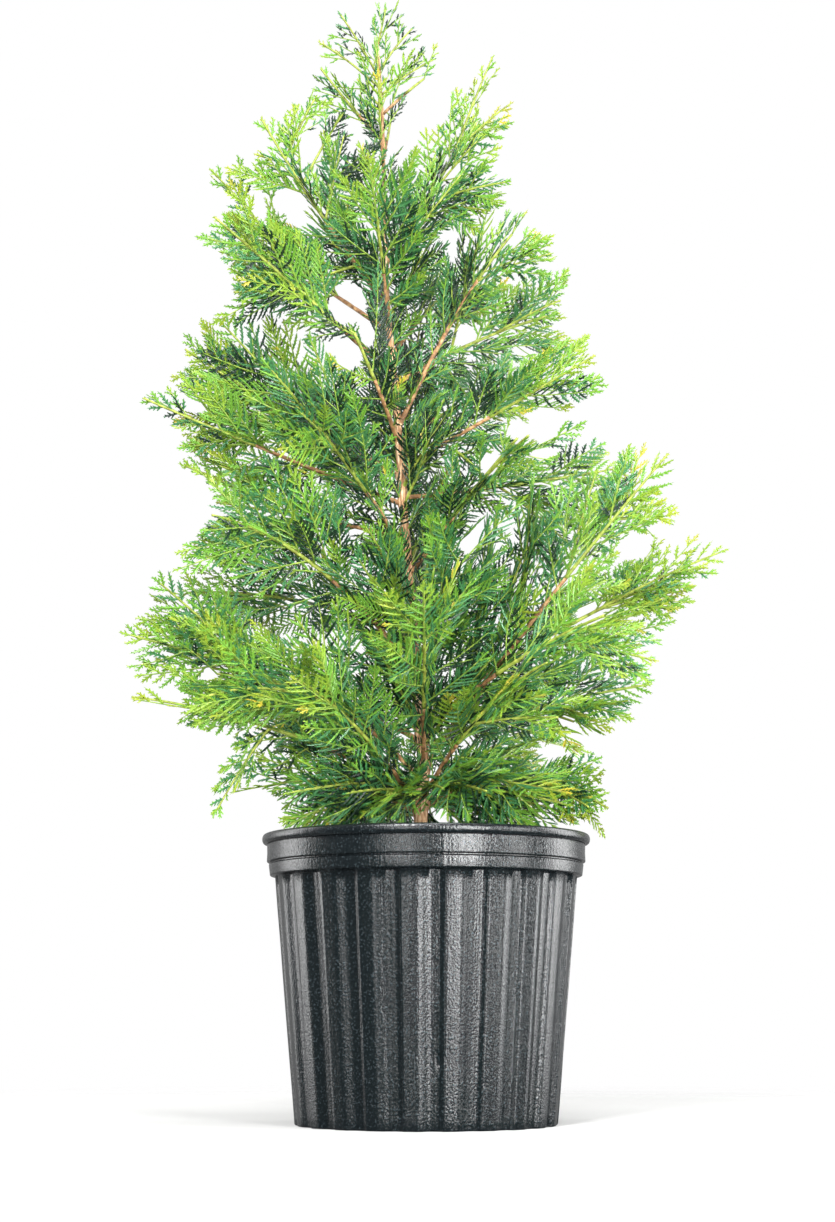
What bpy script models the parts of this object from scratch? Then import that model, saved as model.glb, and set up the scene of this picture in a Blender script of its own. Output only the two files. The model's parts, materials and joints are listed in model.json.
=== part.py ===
# A young thuja in a fluted nursery pot: pot, potting mix, trunk, boughs and masses of flat sprays.
# Metres, +Z up, +X to the right of the front view and -Y towards the viewer.
# The origin is the centre of the pot's flat underside.

import itertools
import math
import random
from collections import namedtuple

import bmesh
import bpy
from mathutils import Matrix, Vector
from mathutils.bvhtree import BVHTree

GAP = 0.0003  # between solids that touch
CLEARANCE = 0.0006  # between sprays that pass each other
WELD = 0.00001
FLAT_ANGLE = math.radians(0.3)

# Pot, a no. 3 blow-moulded container
POT_HEIGHT = 0.241
POT_BASE_RADIUS = 0.110
SHOULDER_HEIGHT = 0.2052  # the flutes stop here, under the lower band
SHOULDER_RADIUS = 0.1283
BAND_SLOPE = 0.0010
LOWER_BAND_RADIUS = 0.1338
LOWER_BAND_TOP = 0.2160
GROOVE_DEPTH = 0.0016
UPPER_BAND_RADIUS = 0.1355
UPPER_BAND_BOTTOM = 0.2176
UPPER_BAND_TOP = 0.2328
LIP_RADIUS = 0.1396
LIP_ROUND = 0.0016
WALL = 0.0020
FLOOR = 0.0030
FLUTE_COUNT = 22
FLUTE_DEPTH = 0.0038
FLUTE_EDGE = math.radians(-83.2)  # one ridge's edge, just right of the front
RIDGE_SHARE = 0.41
FLUTE_SLOPE_SHARE = 0.10
POT_STEPS = 4 * FLUTE_COUNT

# Potting mix
MIX_TOP = 0.220
MIX_STEPS = 24

# Trunk: height, then how far it stands right of and behind the pot's axis, and its radius
TRUNK_FOOT = MIX_TOP + GAP
TRUNK_LINE = [
    (TRUNK_FOOT, -0.0050, 0.000, 0.0086),
    (0.232, -0.0048, 0.000, 0.0068),
    (0.262, -0.0042, 0.001, 0.0060),
    (0.310, -0.0026, 0.002, 0.0057),
    (0.380, -0.0085, 0.001, 0.0052),
    (0.455, -0.0135, 0.000, 0.0045),
    (0.530, -0.0200, 0.000, 0.0038),
    (0.626, -0.0263, 0.002, 0.0031),
    (0.720, -0.0345, 0.003, 0.0025),
    (0.800, -0.0372, 0.002, 0.0020),
    (0.880, -0.0388, 0.000, 0.0015),
    (0.961, -0.0433, 0.000, 0.0010),
]
TRUNK_SIDES = 8

# Limbs
BOUGH_SIDES = 5
STEM_SIDES = 3
THINNEST = 0.0011
LIMB_TAPER = 0.0046  # radius that each metre of limb adds at its foot
SWAY = 0.06  # most that a limb bends sideways, as a share of its length
BOUGH_RINGS = 5
STEM_RINGS = 4
LEADER_RINGS = 3
LIMB_GAP = GAP + 0.0001  # between a bough's tip and the stem that goes on from it

# Sprays: flat toothed blades, drawn one long with a half width of one, then scaled
BLADE_THICKNESS = 0.0016
BLADE_TEETH = 3
NECK_LENGTH = 0.10
TEETH_END = 0.78
TOOTH_SWEEP = 0.25  # how far a tooth's point lies ahead of its foot
NECK_WIDTH = 0.06
FOOT_WIDTH = 0.08
VALLEY_WIDTH = 0.22  # of the tooth's reach
STEM_SHARE = 0.42  # of a mass's length; its end blade covers the rest
ROOT_SUNK = 0.007
SIDE_ROOT_SUNK = 0.002
END_WIDTH = 0.46  # of the mass's half width
SIDE_WIDTHS = (0.22, 0.27)  # half width, as a share of the blade's own length
SIDE_LEANS = (32, 46)  # degrees from the stem
SIDE_SHARES = (0.05, 0.18, 0.31)  # where side blades leave the stem
SMALL_SPREAD = 0.059  # a mass narrower than this has one side blade fewer
SPACE_SLACK = 0.004
TRIES = 40

# Each limb: height on the trunk, azimuth (0 right, 90 behind, 180 left, 270 front), reach of its
# tip from the trunk, height of the tip, bow upwards, share that is bare, half width of its mass,
# roll of the flat spray from the level in degrees, and whether the bare share is a bough.
Limb = namedtuple("Limb", "name height azimuth reach tip lift bare spread roll bough")
LIMBS = [
    Limb("crown_left", 0.869, 186, 0.072, 0.956, -0.006, 0.10, 0.042, 78, False),
    Limb("crown_right", 0.893, 350, 0.061, 0.944, 0.010, 0.10, 0.038, 80, False),
    Limb("crown_front", 0.840, 266, 0.068, 0.928, 0.004, 0.12, 0.046, 24, False),
    Limb("crown_back", 0.852, 84, 0.074, 0.930, 0.004, 0.12, 0.046, 30, False),
    Limb("upper_left", 0.716, 199, 0.130, 0.893, -0.020, 0.40, 0.060, 72, True),
    Limb("left_shoulder", 0.690, 152, 0.186, 0.838, -0.006, 0.26, 0.060, 64, False),
    Limb("left_high", 0.648, 212, 0.216, 0.782, 0.004, 0.30, 0.064, 60, False),
    Limb("upper_right", 0.752, 14, 0.110, 0.946, -0.006, 0.40, 0.050, 74, True),
    Limb("right_fork", 0.600, 340, 0.142, 0.798, 0.050, 0.50, 0.060, 66, True),
    Limb("right_high", 0.640, 30, 0.194, 0.742, 0.018, 0.28, 0.060, 68, False),
    Limb("front_high", 0.690, 262, 0.124, 0.808, 0.014, 0.18, 0.058, 20, False),
    Limb("front_high_left", 0.585, 242, 0.164, 0.722, 0.014, 0.24, 0.062, 38, False),
    Limb("back_high_left", 0.704, 118, 0.146, 0.842, 0.010, 0.20, 0.060, 40, False),
    Limb("back_high_right", 0.668, 62, 0.168, 0.800, 0.012, 0.22, 0.062, 48, False),
    Limb("left_mid", 0.558, 166, 0.214, 0.670, 0.000, 0.36, 0.066, 60, True),
    Limb("left_long", 0.531, 190, 0.260, 0.629, -0.008, 0.48, 0.060, 56, True),
    Limb("left_level", 0.501, 182, 0.183, 0.534, 0.002, 0.36, 0.058, 64, True),
    Limb("front_left_rise", 0.380, 212, 0.256, 0.495, 0.080, 0.32, 0.066, 50, True),
    Limb("right_mid", 0.564, 334, 0.202, 0.650, 0.002, 0.40, 0.060, 68, True),
    Limb("right_level", 0.537, 16, 0.213, 0.580, -0.004, 0.40, 0.058, 60, True),
    Limb("rear_stem", 0.520, 82, 0.110, 0.735, 0.010, 0.32, 0.064, 35, True),
    Limb("back_mid_left", 0.552, 126, 0.204, 0.668, 0.010, 0.32, 0.068, 52, True),
    Limb("back_mid_right", 0.588, 46, 0.190, 0.690, 0.012, 0.26, 0.066, 58, False),
    Limb("front_mid_left", 0.486, 228, 0.180, 0.624, 0.012, 0.28, 0.064, 34, False),
    Limb("front_mid_right", 0.466, 314, 0.186, 0.600, 0.012, 0.28, 0.064, 42, False),
    Limb("lower_right", 0.298, 342, 0.236, 0.578, 0.012, 0.52, 0.066, 64, True),
    Limb("right_far", 0.340, 10, 0.262, 0.488, 0.026, 0.38, 0.064, 58, False),
    Limb("right_wide", 0.330, 322, 0.262, 0.424, 0.036, 0.38, 0.062, 46, False),
    Limb("right_low", 0.318, 358, 0.206, 0.372, 0.016, 0.36, 0.058, 60, False),
    Limb("right_skirt", 0.264, 20, 0.188, 0.272, 0.052, 0.34, 0.052, 54, False),
    Limb("left_low", 0.286, 214, 0.240, 0.332, 0.086, 0.32, 0.060, 48, True),
    Limb("left_wide", 0.322, 172, 0.257, 0.407, 0.030, 0.40, 0.064, 62, True),
    Limb("left_wide_low", 0.276, 194, 0.272, 0.356, 0.034, 0.36, 0.058, 58, False),
    Limb("left_upper_low", 0.412, 152, 0.256, 0.474, 0.030, 0.34, 0.064, 52, False),
    Limb("left_skirt", 0.258, 178, 0.184, 0.262, 0.056, 0.34, 0.052, 50, False),
    Limb("front_low_left", 0.262, 240, 0.206, 0.352, 0.036, 0.28, 0.062, 30, False),
    Limb("front_low", 0.292, 270, 0.220, 0.420, 0.028, 0.30, 0.066, 26, False),
    Limb("front_low_right", 0.270, 300, 0.214, 0.366, 0.034, 0.30, 0.062, 36, False),
    Limb("front_centre", 0.366, 286, 0.184, 0.500, 0.022, 0.26, 0.064, 22, False),
    Limb("back_low_left", 0.274, 134, 0.236, 0.372, 0.036, 0.32, 0.066, 46, False),
    Limb("back_low", 0.312, 98, 0.240, 0.446, 0.026, 0.34, 0.068, 40, False),
    Limb("back_low_right", 0.268, 54, 0.236, 0.360, 0.036, 0.32, 0.066, 50, False),
]

# The leader's own spray goes on from the trunk's tip.
LEADER_TIP = Vector((-0.036, 0.004, 1.000))
LEADER_SPREAD = 0.044
LEADER_ROLL = 82

# sRGB colours, made linear below
PLASTIC_COLOUR = "#2b2f31"
MIX_COLOUR = "#3b2422"
BARK_COLOUR = "#a06a46"
YOUNG_BARK_COLOUR = "#8a8a3c"
FOLIAGE_COLOUR = "#4f8a3a"

UP = Vector((0, 0, 1))


def clear_scene():
    for item in list(bpy.data.objects):
        bpy.data.objects.remove(item, do_unlink=True)


def new_collection(name):
    group = bpy.data.collections.new(name)
    bpy.context.scene.collection.children.link(group)
    return group


def linear(hex_colour):
    """The linear colour of an sRGB hex value."""
    parts = [int(hex_colour[i:i + 2], 16) / 255 for i in (1, 3, 5)]
    return [c / 12.92 if c <= 0.04045 else ((c + 0.055) / 1.055) ** 2.4 for c in parts] + [1.0]


def new_material(name, colour, roughness):
    material = bpy.data.materials.new(name)
    material.use_nodes = True
    shader = material.node_tree.nodes["Principled BSDF"]
    shader.inputs["Base Color"].default_value = linear(colour)
    shader.inputs["Roughness"].default_value = roughness
    shader.inputs["Metallic"].default_value = 0.0
    return material


def evaluated_mesh(item):
    graph = bpy.context.evaluated_depsgraph_get()
    return bpy.data.meshes.new_from_object(item.evaluated_get(graph))


def weld(mesh):
    """Join a mesh's loose caps to its sides and turn its faces outwards."""
    shape = bmesh.new()
    shape.from_mesh(mesh)
    bmesh.ops.remove_doubles(shape, verts=shape.verts, dist=WELD)
    bmesh.ops.recalc_face_normals(shape, faces=shape.faces)
    shape.to_mesh(mesh)
    shape.free()


def place(mesh, name, group, material):
    item = bpy.data.objects.new(name, mesh)
    mesh.materials.clear()
    mesh.materials.append(material)
    group.objects.link(item)
    return item


def turned(name, profile, steps, helpers):
    """The mesh of a closed profile of (radius, height) points, turned round the Z axis."""
    outline = bpy.data.meshes.new(name + "_profile")
    edges = [(i, i + 1) for i in range(len(profile) - 1)]
    outline.from_pydata([(r, 0, z) for r, z in profile], edges, [])
    item = bpy.data.objects.new(name + "_profile", outline)
    helpers.objects.link(item)
    screw = item.modifiers.new("turn", "SCREW")
    screw.steps = steps
    screw.render_steps = steps
    screw.use_merge_vertices = True
    screw.merge_threshold = WELD
    mesh = evaluated_mesh(item)
    bpy.data.objects.remove(item, do_unlink=True)
    weld(mesh)
    return mesh


def inner_radius(height):
    """The inner wall: a cone up to the shoulder, which is as deep as the flutes reach."""
    base = POT_BASE_RADIUS - FLUTE_DEPTH - WALL
    shoulder = SHOULDER_RADIUS - FLUTE_DEPTH - WALL
    return base + (shoulder - base) * (height - FLOOR) / (SHOULDER_HEIGHT - FLOOR)


def pot_profile():
    """From the inner floor up over the lip and down the outer side to the underside."""
    inner_band = LOWER_BAND_RADIUS - WALL
    return [
        (0, FLOOR),
        (inner_radius(FLOOR), FLOOR),
        (inner_radius(SHOULDER_HEIGHT), SHOULDER_HEIGHT),
        (inner_band, SHOULDER_HEIGHT + WALL),
        (LIP_RADIUS - 2 * WALL, POT_HEIGHT),
        (LIP_RADIUS - LIP_ROUND, POT_HEIGHT),
        (LIP_RADIUS, POT_HEIGHT - LIP_ROUND),
        (LIP_RADIUS - LIP_ROUND, UPPER_BAND_TOP),
        (UPPER_BAND_RADIUS, UPPER_BAND_TOP),
        (UPPER_BAND_RADIUS, UPPER_BAND_BOTTOM),
        (LOWER_BAND_RADIUS - GROOVE_DEPTH, (UPPER_BAND_BOTTOM + LOWER_BAND_TOP) / 2),
        (LOWER_BAND_RADIUS, LOWER_BAND_TOP),
        (LOWER_BAND_RADIUS - BAND_SLOPE, SHOULDER_HEIGHT + BAND_SLOPE),
        (SHOULDER_RADIUS, SHOULDER_HEIGHT),
        (POT_BASE_RADIUS, 0),
        (0, 0),
    ]


def flute(mesh):
    """Press the flutes into the outer wall: four corners to each, two on the ridge, two inside."""
    period = 2 * math.pi / FLUTE_COUNT
    first = math.remainder(FLUTE_EDGE, period)
    corners = [0, RIDGE_SHARE, RIDGE_SHARE + FLUTE_SLOPE_SHARE, 1 - FLUTE_SLOPE_SHARE]
    for vertex in mesh.vertices:
        radius = math.hypot(vertex.co.x, vertex.co.y)
        on_wall = vertex.co.z < SHOULDER_HEIGHT + WELD and radius > inner_radius(vertex.co.z) + WALL
        if not on_wall:
            continue
        step = round(math.atan2(vertex.co.y, vertex.co.x) / (period / 4))
        angle = first + period * (step // 4 + corners[step % 4])
        if step % 4 >= 2:
            radius -= FLUTE_DEPTH
        vertex.co.x = radius * math.cos(angle)
        vertex.co.y = radius * math.sin(angle)


def make_pot(group, helpers):
    mesh = turned("pot", pot_profile(), POT_STEPS, helpers)
    flute(mesh)
    mesh.shade_smooth()
    mesh.set_sharp_from_angle(angle=math.radians(25))
    return place(mesh, "pot", group, new_material("black_moulded_plastic", PLASTIC_COLOUR, 0.35))


def make_mix(group, helpers):
    """The potting mix fills the pot to just below the rim, clear of the wall."""
    inset = GAP + inner_radius(SHOULDER_HEIGHT) * (1 - math.cos(math.pi / POT_STEPS))
    step_radius = LOWER_BAND_RADIUS - WALL - inset
    profile = [
        (0, MIX_TOP),
        (step_radius, MIX_TOP),
        (step_radius, SHOULDER_HEIGHT + WALL + 2 * GAP),
        (inner_radius(SHOULDER_HEIGHT) - inset - GAP, SHOULDER_HEIGHT + 2 * GAP),
        (inner_radius(FLOOR) - inset, FLOOR + GAP),
        (0, FLOOR + GAP),
    ]
    mesh = turned("potting_mix", profile, MIX_STEPS, helpers)
    return place(mesh, "potting_mix", group, new_material("potting_mix", MIX_COLOUR, 0.95))


def trunk_at(height):
    """The trunk's centre at a height, and its radius there, on a smooth line through its points."""
    last = len(TRUNK_LINE) - 2
    i = max(k for k in range(last + 1) if k == 0 or TRUNK_LINE[k][0] <= height)
    rows = [TRUNK_LINE[max(i - 1, 0)], TRUNK_LINE[i], TRUNK_LINE[i + 1], TRUNK_LINE[min(i + 2, last + 1)]]
    t = (height - rows[1][0]) / (rows[2][0] - rows[1][0])
    found = []
    for k in (1, 2, 3):
        a, b, c, d = (row[k] for row in rows)
        span = rows[2][0] - rows[1][0]
        slope_b = (c - a) / max(rows[2][0] - rows[0][0], WELD) * span
        slope_c = (d - b) / max(rows[3][0] - rows[1][0], WELD) * span
        smooth = t * t * (3 - 2 * t)
        found.append(
            b + (c - b) * smooth + slope_b * t * (1 - t) ** 2 - slope_c * t * t * (1 - t)
        )
    return Vector((found[0], found[1], height)), found[2]


def tube(name, points, radii, sides, helpers):
    """The closed mesh of a limb: a polygon swept along the points, as thick as the radii say."""
    ring = bpy.data.curves.new(name + "_ring", "CURVE")
    ring.dimensions = "2D"
    edge = ring.splines.new("POLY")
    edge.points.add(sides - 1)
    for k, point in enumerate(edge.points):
        angle = 2 * math.pi * k / sides
        point.co = (math.cos(angle), math.sin(angle), 0, 1)
    edge.use_cyclic_u = True
    ring_item = bpy.data.objects.new(name + "_ring", ring)
    helpers.objects.link(ring_item)

    line = bpy.data.curves.new(name + "_line", "CURVE")
    line.dimensions = "3D"
    line.bevel_mode = "OBJECT"
    line.bevel_object = ring_item
    line.use_fill_caps = True
    spline = line.splines.new("POLY")
    spline.points.add(len(points) - 1)
    for point, centre, radius in zip(spline.points, points, radii):
        point.co = (*centre, 1)
        point.radius = radius
    line_item = bpy.data.objects.new(name + "_line", line)
    helpers.objects.link(line_item)
    mesh = evaluated_mesh(line_item)
    bpy.data.objects.remove(line_item, do_unlink=True)
    bpy.data.objects.remove(ring_item, do_unlink=True)
    weld(mesh)
    return mesh


def tree_of(mesh):
    mesh.calc_loop_triangles()
    faces = [tuple(t.vertices) for t in mesh.loop_triangles]
    return BVHTree.FromPolygons([v.co for v in mesh.vertices], faces)


def make_trunk(group, helpers, bark):
    heights = [row[0] for row in TRUNK_LINE]
    centres, radii = zip(*(trunk_at(h) for h in heights))
    mesh = tube("trunk", centres, radii, TRUNK_SIDES, helpers)
    mesh.shade_smooth()
    mesh.set_sharp_from_angle(angle=math.radians(50))
    return place(mesh, "trunk", group, bark)


class Path:
    """The line of one limb, from the trunk's centre to the limb's tip."""

    def __init__(self, start, tip, lift, sway, foot_radius):
        self.start = start
        self.tip = tip
        flat = Vector((tip.x - start.x, tip.y - start.y, 0))
        side = flat.cross(UP)
        self.bend = (start + tip) / 2 + UP * lift + side * sway
        self.foot_radius = foot_radius

    def at(self, t):
        return self.start * (1 - t) ** 2 + self.bend * 2 * t * (1 - t) + self.tip * t * t

    def direction(self, t):
        return ((self.bend - self.start) * (1 - t) + (self.tip - self.bend) * t).normalized()

    def speed(self, t):
        return 2 * ((self.bend - self.start) * (1 - t) + (self.tip - self.bend) * t).length

    def radius(self, t):
        return self.foot_radius + (THINNEST - self.foot_radius) * t


def path_of(limb):
    start, _ = trunk_at(limb.height)
    angle = math.radians(limb.azimuth)
    tip = start + Vector((math.cos(angle), math.sin(angle), 0)) * limb.reach
    tip.z = limb.tip
    sway = random.Random(limb.name).uniform(-SWAY, SWAY)
    return Path(start, tip, limb.lift, sway, THINNEST + LIMB_TAPER * (tip - start).length)


def leader_path():
    start, radius = trunk_at(TRUNK_LINE[-1][0])
    return Path(start, LEADER_TIP, 0, 0, radius)


def foot_offsets(mesh, centre, sides):
    """Points over the flat end of a tube, measured from the end's centre."""
    corners = sorted((vertex.co - centre for vertex in mesh.vertices), key=lambda c: c.length)[:sides]
    return corners + [(a + b) / 2 for a, b in itertools.combinations(corners, 2)]


def clear_of(tree, points):
    """True where every point is outside a surface by the gap."""
    for point in points:
        nearest, normal, _, distance = tree.find_nearest(point)
        if distance < GAP or (point - nearest).dot(normal) < 0:
            return False
    return True


def clear_foot(path, trunk_tree, sides, helpers):
    """The first share of the path where the limb's flat end is clear of the trunk by the gap."""
    trial = limb_tube("trial", path, 0, 0.5, STEM_RINGS, sides, helpers)
    offsets = foot_offsets(trial, path.at(0), sides)
    step = GAP / 4 / path.speed(0)
    t = step
    while not clear_of(trunk_tree, [path.at(t) + offset for offset in offsets]):
        t += step
    return t


def limb_tube(name, path, first, last, rings, sides, helpers):
    shares = [first + (last - first) * k / (rings - 1) for k in range(rings)]
    fullness = 1 / math.cos(math.pi / sides) ** 0.5
    radii = [path.radius(t) * fullness for t in shares]
    return tube(name, [path.at(t) for t in shares], radii, sides, helpers)


def blade_outline():
    """One side of a feathered blade, from its neck past the swept teeth towards its tip."""
    side = [(0.0, NECK_WIDTH)]
    for k in range(BLADE_TEETH):
        foot = NECK_LENGTH + (TEETH_END - NECK_LENGTH) * k / BLADE_TEETH
        reach = math.sin(math.pi * (0.27 + 0.72 * k / BLADE_TEETH)) ** 0.8
        side.append((foot, VALLEY_WIDTH * reach + FOOT_WIDTH if k else FOOT_WIDTH))
        side.append((foot + TOOTH_SWEEP, reach))
    side.append((TEETH_END, VALLEY_WIDTH))
    return side


def blade_mesh(helpers):
    """A toothed blade along +X from its root at the origin."""
    side = blade_outline()
    outline = side + [(1.0, 0.0)] + [(x, -y) for x, y in reversed(side)]
    curve = bpy.data.curves.new("blade", "CURVE")
    curve.dimensions = "2D"
    curve.fill_mode = "BOTH"
    curve.extrude = 0.5
    spline = curve.splines.new("POLY")
    spline.points.add(len(outline) - 1)
    for point, (x, y) in zip(spline.points, outline):
        point.co = (x, y, 0, 1)
    spline.use_cyclic_u = True
    item = bpy.data.objects.new("blade", curve)
    helpers.objects.link(item)
    mesh = evaluated_mesh(item)
    bpy.data.objects.remove(item, do_unlink=True)
    weld(mesh)
    return mesh


def blade_matrix(origin, along, across, length, width, thickness):
    """Carries a blade drawn along +X and across +Y to its place and size."""
    normal = along.cross(across).normalized()
    across = normal.cross(along).normalized()
    columns = Matrix((along * length, across * width, normal * thickness)).transposed()
    return Matrix.Translation(origin) @ columns.to_4x4()


def moved(mesh, matrix):
    copy = mesh.copy()
    copy.transform(matrix)
    return copy


def across_plate(direction, roll):
    """The way across a flat spray that is rolled from the level about its stem."""
    level = direction.cross(UP)
    if level.length < 0.1:
        level = Vector((1, 0, 0))
    return Matrix.Rotation(math.radians(roll), 3, direction) @ level.normalized()


class Mass:
    """One mass of sprays: its stem, and the blades that are joined to it."""

    def __init__(self, name, path, first, spread, roll, stem):
        self.name = name
        self.path = path
        self.first = first  # share of the path where the foliage starts
        self.spread = spread
        self.roll = roll
        self.stem = stem
        self.blades = []
        self.trees = [tree_of(stem)]
        self.rule = random.Random(name)

    def share(self, s):
        """The path's share at a share s of the foliage."""
        return self.first + (1 - self.first) * s

    def length(self):
        return (self.path.tip - self.path.at(self.first)).length

    def holds(self, mesh):
        """True where every point stays within the mass's own space about its line."""
        root = self.path.at(self.first)
        axis = (self.path.tip - root).normalized()
        for vertex in mesh.vertices:
            offset = vertex.co - root
            along = offset.dot(axis)
            away = (offset - axis * along).length
            if along > self.length() + SPACE_SLACK or away > self.spread + SPACE_SLACK:
                return False
        return True

    def add(self, blade, origin, along, across, length, width, others):
        """Place one blade, unless it would leave the mass's space or touch anything else."""
        back = origin - along * CLEARANCE
        thick = BLADE_THICKNESS + 2 * CLEARANCE
        swollen = moved(
            blade, blade_matrix(back, along, across, length + 2 * CLEARANCE, width + CLEARANCE, thick)
        )
        tree = tree_of(swollen)
        fits = self.holds(swollen) and not any(tree.overlap(other) for other in others)
        bpy.data.meshes.remove(swollen)
        if not fits:
            return False
        placed = moved(blade, blade_matrix(origin, along, across, length, width, BLADE_THICKNESS))
        self.blades.append(placed)
        self.trees.append(tree_of(placed))
        return True


def others_of(mass, masses, fixed):
    """Everything that the mass's blades keep clear of, but its own stem."""
    trees = fixed + mass.trees[1:]
    for other in masses:
        if other is not mass:
            trees += other.trees
    return trees


def add_end_blade(mass, blade, others):
    """The blade at the stem's end, which reaches the limb's tip."""
    end = mass.share(STEM_SHARE)
    origin = mass.path.at(end) - mass.path.direction(end) * ROOT_SUNK
    along = mass.path.tip - origin
    length = along.length
    along.normalize()
    for attempt in range(TRIES):
        roll = mass.roll + mass.rule.uniform(-8, 8) + 15 * attempt
        width = mass.spread * END_WIDTH * (1 - attempt / 100)
        if mass.add(blade, origin, along, across_plate(along, roll), length, width, others):
            return


def add_side_blade(mass, blade, share, side, others):
    """A blade out from one side of the stem, leaning forward in the plane of the spray."""
    t = mass.share(share)
    stem = mass.path.direction(t)
    for attempt in range(TRIES):
        lean = math.radians(mass.rule.uniform(*SIDE_LEANS))
        roll = mass.roll + mass.rule.uniform(-14, 14) * (1 + attempt / 6)
        across = across_plate(stem, roll)
        along = (stem * math.cos(lean) + across * side * math.sin(lean)).normalized()
        ahead = (1 - share) * mass.length() / math.cos(lean)
        fullest = min(mass.spread / math.sin(lean), ahead)
        length = fullest * mass.rule.uniform(0.88, 1.0) * (1 - attempt / 120)
        width = length * mass.rule.uniform(*SIDE_WIDTHS)
        origin = mass.path.at(t) - along * SIDE_ROOT_SUNK
        flat = stem.cross(across).cross(along)
        if mass.add(blade, origin, along, flat, length, width, others):
            return


def is_closed(shape):
    return all(edge.is_manifold for edge in shape.edges)


def drop_scraps(shape):
    """Keep only the largest connected body."""
    left = set(shape.verts)
    bodies = []
    while left:
        body = [left.pop()]
        for vertex in body:
            for edge in vertex.link_edges:
                other = edge.other_vert(vertex)
                if other in left:
                    left.remove(other)
                    body.append(other)
        bodies.append(body)
    bodies.sort(key=len)
    for body in bodies[:-1]:
        bmesh.ops.delete(shape, geom=body, context="VERTS")


def simplify(mesh):
    """Merge the flat faces that a union cut up. False where the body is open."""
    shape = bmesh.new()
    shape.from_mesh(mesh)
    drop_scraps(shape)
    bmesh.ops.remove_doubles(shape, verts=shape.verts, dist=WELD / 10)
    bmesh.ops.triangulate(shape, faces=shape.faces)
    closed = is_closed(shape)
    if closed:
        shape.to_mesh(mesh)
        bmesh.ops.dissolve_limit(
            shape, angle_limit=FLAT_ANGLE, verts=shape.verts, edges=shape.edges
        )
        bmesh.ops.triangulate(shape, faces=shape.faces)
    if closed and is_closed(shape):
        shape.to_mesh(mesh)
    shape.free()
    return closed


def united(mass, solver, helpers):
    """The mesh of the stem and its blades in one Boolean union."""
    pieces = new_collection(mass.name + "_blades")
    for k, blade in enumerate(mass.blades):
        pieces.objects.link(bpy.data.objects.new(f"{mass.name}_blade_{k}", blade))
    stem = bpy.data.objects.new(mass.name + "_stem", mass.stem)
    helpers.objects.link(stem)
    join = stem.modifiers.new("join", "BOOLEAN")
    join.operation = "UNION"
    join.operand_type = "COLLECTION"
    join.collection = pieces
    join.solver = solver
    mesh = evaluated_mesh(stem)
    for item in list(pieces.objects):
        bpy.data.objects.remove(item, do_unlink=True)
    bpy.data.collections.remove(pieces)
    bpy.data.objects.remove(stem, do_unlink=True)
    return mesh


def unite(mass, group, helpers, material):
    """One closed body of a mass, by the second solver where the first leaves it open."""
    mesh = united(mass, "EXACT", helpers)
    if not simplify(mesh):
        mesh = united(mass, "MANIFOLD", helpers)
        simplify(mesh)
    place(mesh, mass.name, group, material)


def grow_limbs(plant, helpers, fixed, young_bark):
    """Make the boughs, and a mass with its stem for every limb. The trunk comes first in fixed."""
    masses = []
    for limb in LIMBS:
        path = path_of(limb)
        first = clear_foot(path, fixed[0], BOUGH_SIDES if limb.bough else STEM_SIDES, helpers)
        if limb.bough:
            name = limb.name + "_bough"
            mesh = limb_tube(name, path, first, limb.bare, BOUGH_RINGS, BOUGH_SIDES, helpers)
            place(mesh, name, plant, young_bark)
            fixed.append(tree_of(mesh))
            first = limb.bare + LIMB_GAP / path.speed(limb.bare)
        leafy = max(limb.bare, first)
        end = leafy + (1 - leafy) * STEM_SHARE
        stem = limb_tube(limb.name + "_stem", path, first, end, STEM_RINGS, STEM_SIDES, helpers)
        masses.append(Mass(limb.name + "_sprays", path, leafy, limb.spread, limb.roll, stem))

    path = leader_path()
    first = LIMB_GAP / path.speed(0)
    stem = limb_tube("leader_stem", path, first, STEM_SHARE, LEADER_RINGS, STEM_SIDES, helpers)
    masses.append(Mass("leader_sprays", path, first, LEADER_SPREAD, LEADER_ROLL, stem))
    return masses


def main():
    clear_scene()
    plant = new_collection("potted_thuja")
    helpers = new_collection("helpers")
    bark = new_material("bark", BARK_COLOUR, 0.8)
    young_bark = new_material("young_bark", YOUNG_BARK_COLOUR, 0.7)
    scale_leaves = new_material("scale_leaves", FOLIAGE_COLOUR, 0.6)

    pot = make_pot(plant, helpers)
    mix = make_mix(plant, helpers)
    trunk = make_trunk(plant, helpers, bark)
    fixed = [tree_of(item.data) for item in (trunk, pot, mix)]
    masses = grow_limbs(plant, helpers, fixed, young_bark)

    blade = blade_mesh(helpers)
    for mass in masses:
        add_end_blade(mass, blade, others_of(mass, masses, fixed))
    for mass in masses:
        count = len(SIDE_SHARES) if mass.spread > SMALL_SPREAD else len(SIDE_SHARES) - 1
        for k, share in enumerate(SIDE_SHARES[:count]):
            add_side_blade(mass, blade, share, 1 if k % 2 else -1, others_of(mass, masses, fixed))
    for mass in masses:
        unite(mass, plant, helpers, scale_leaves)
    bpy.data.collections.remove(helpers)


main()
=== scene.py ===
import json
import math
import random

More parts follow.
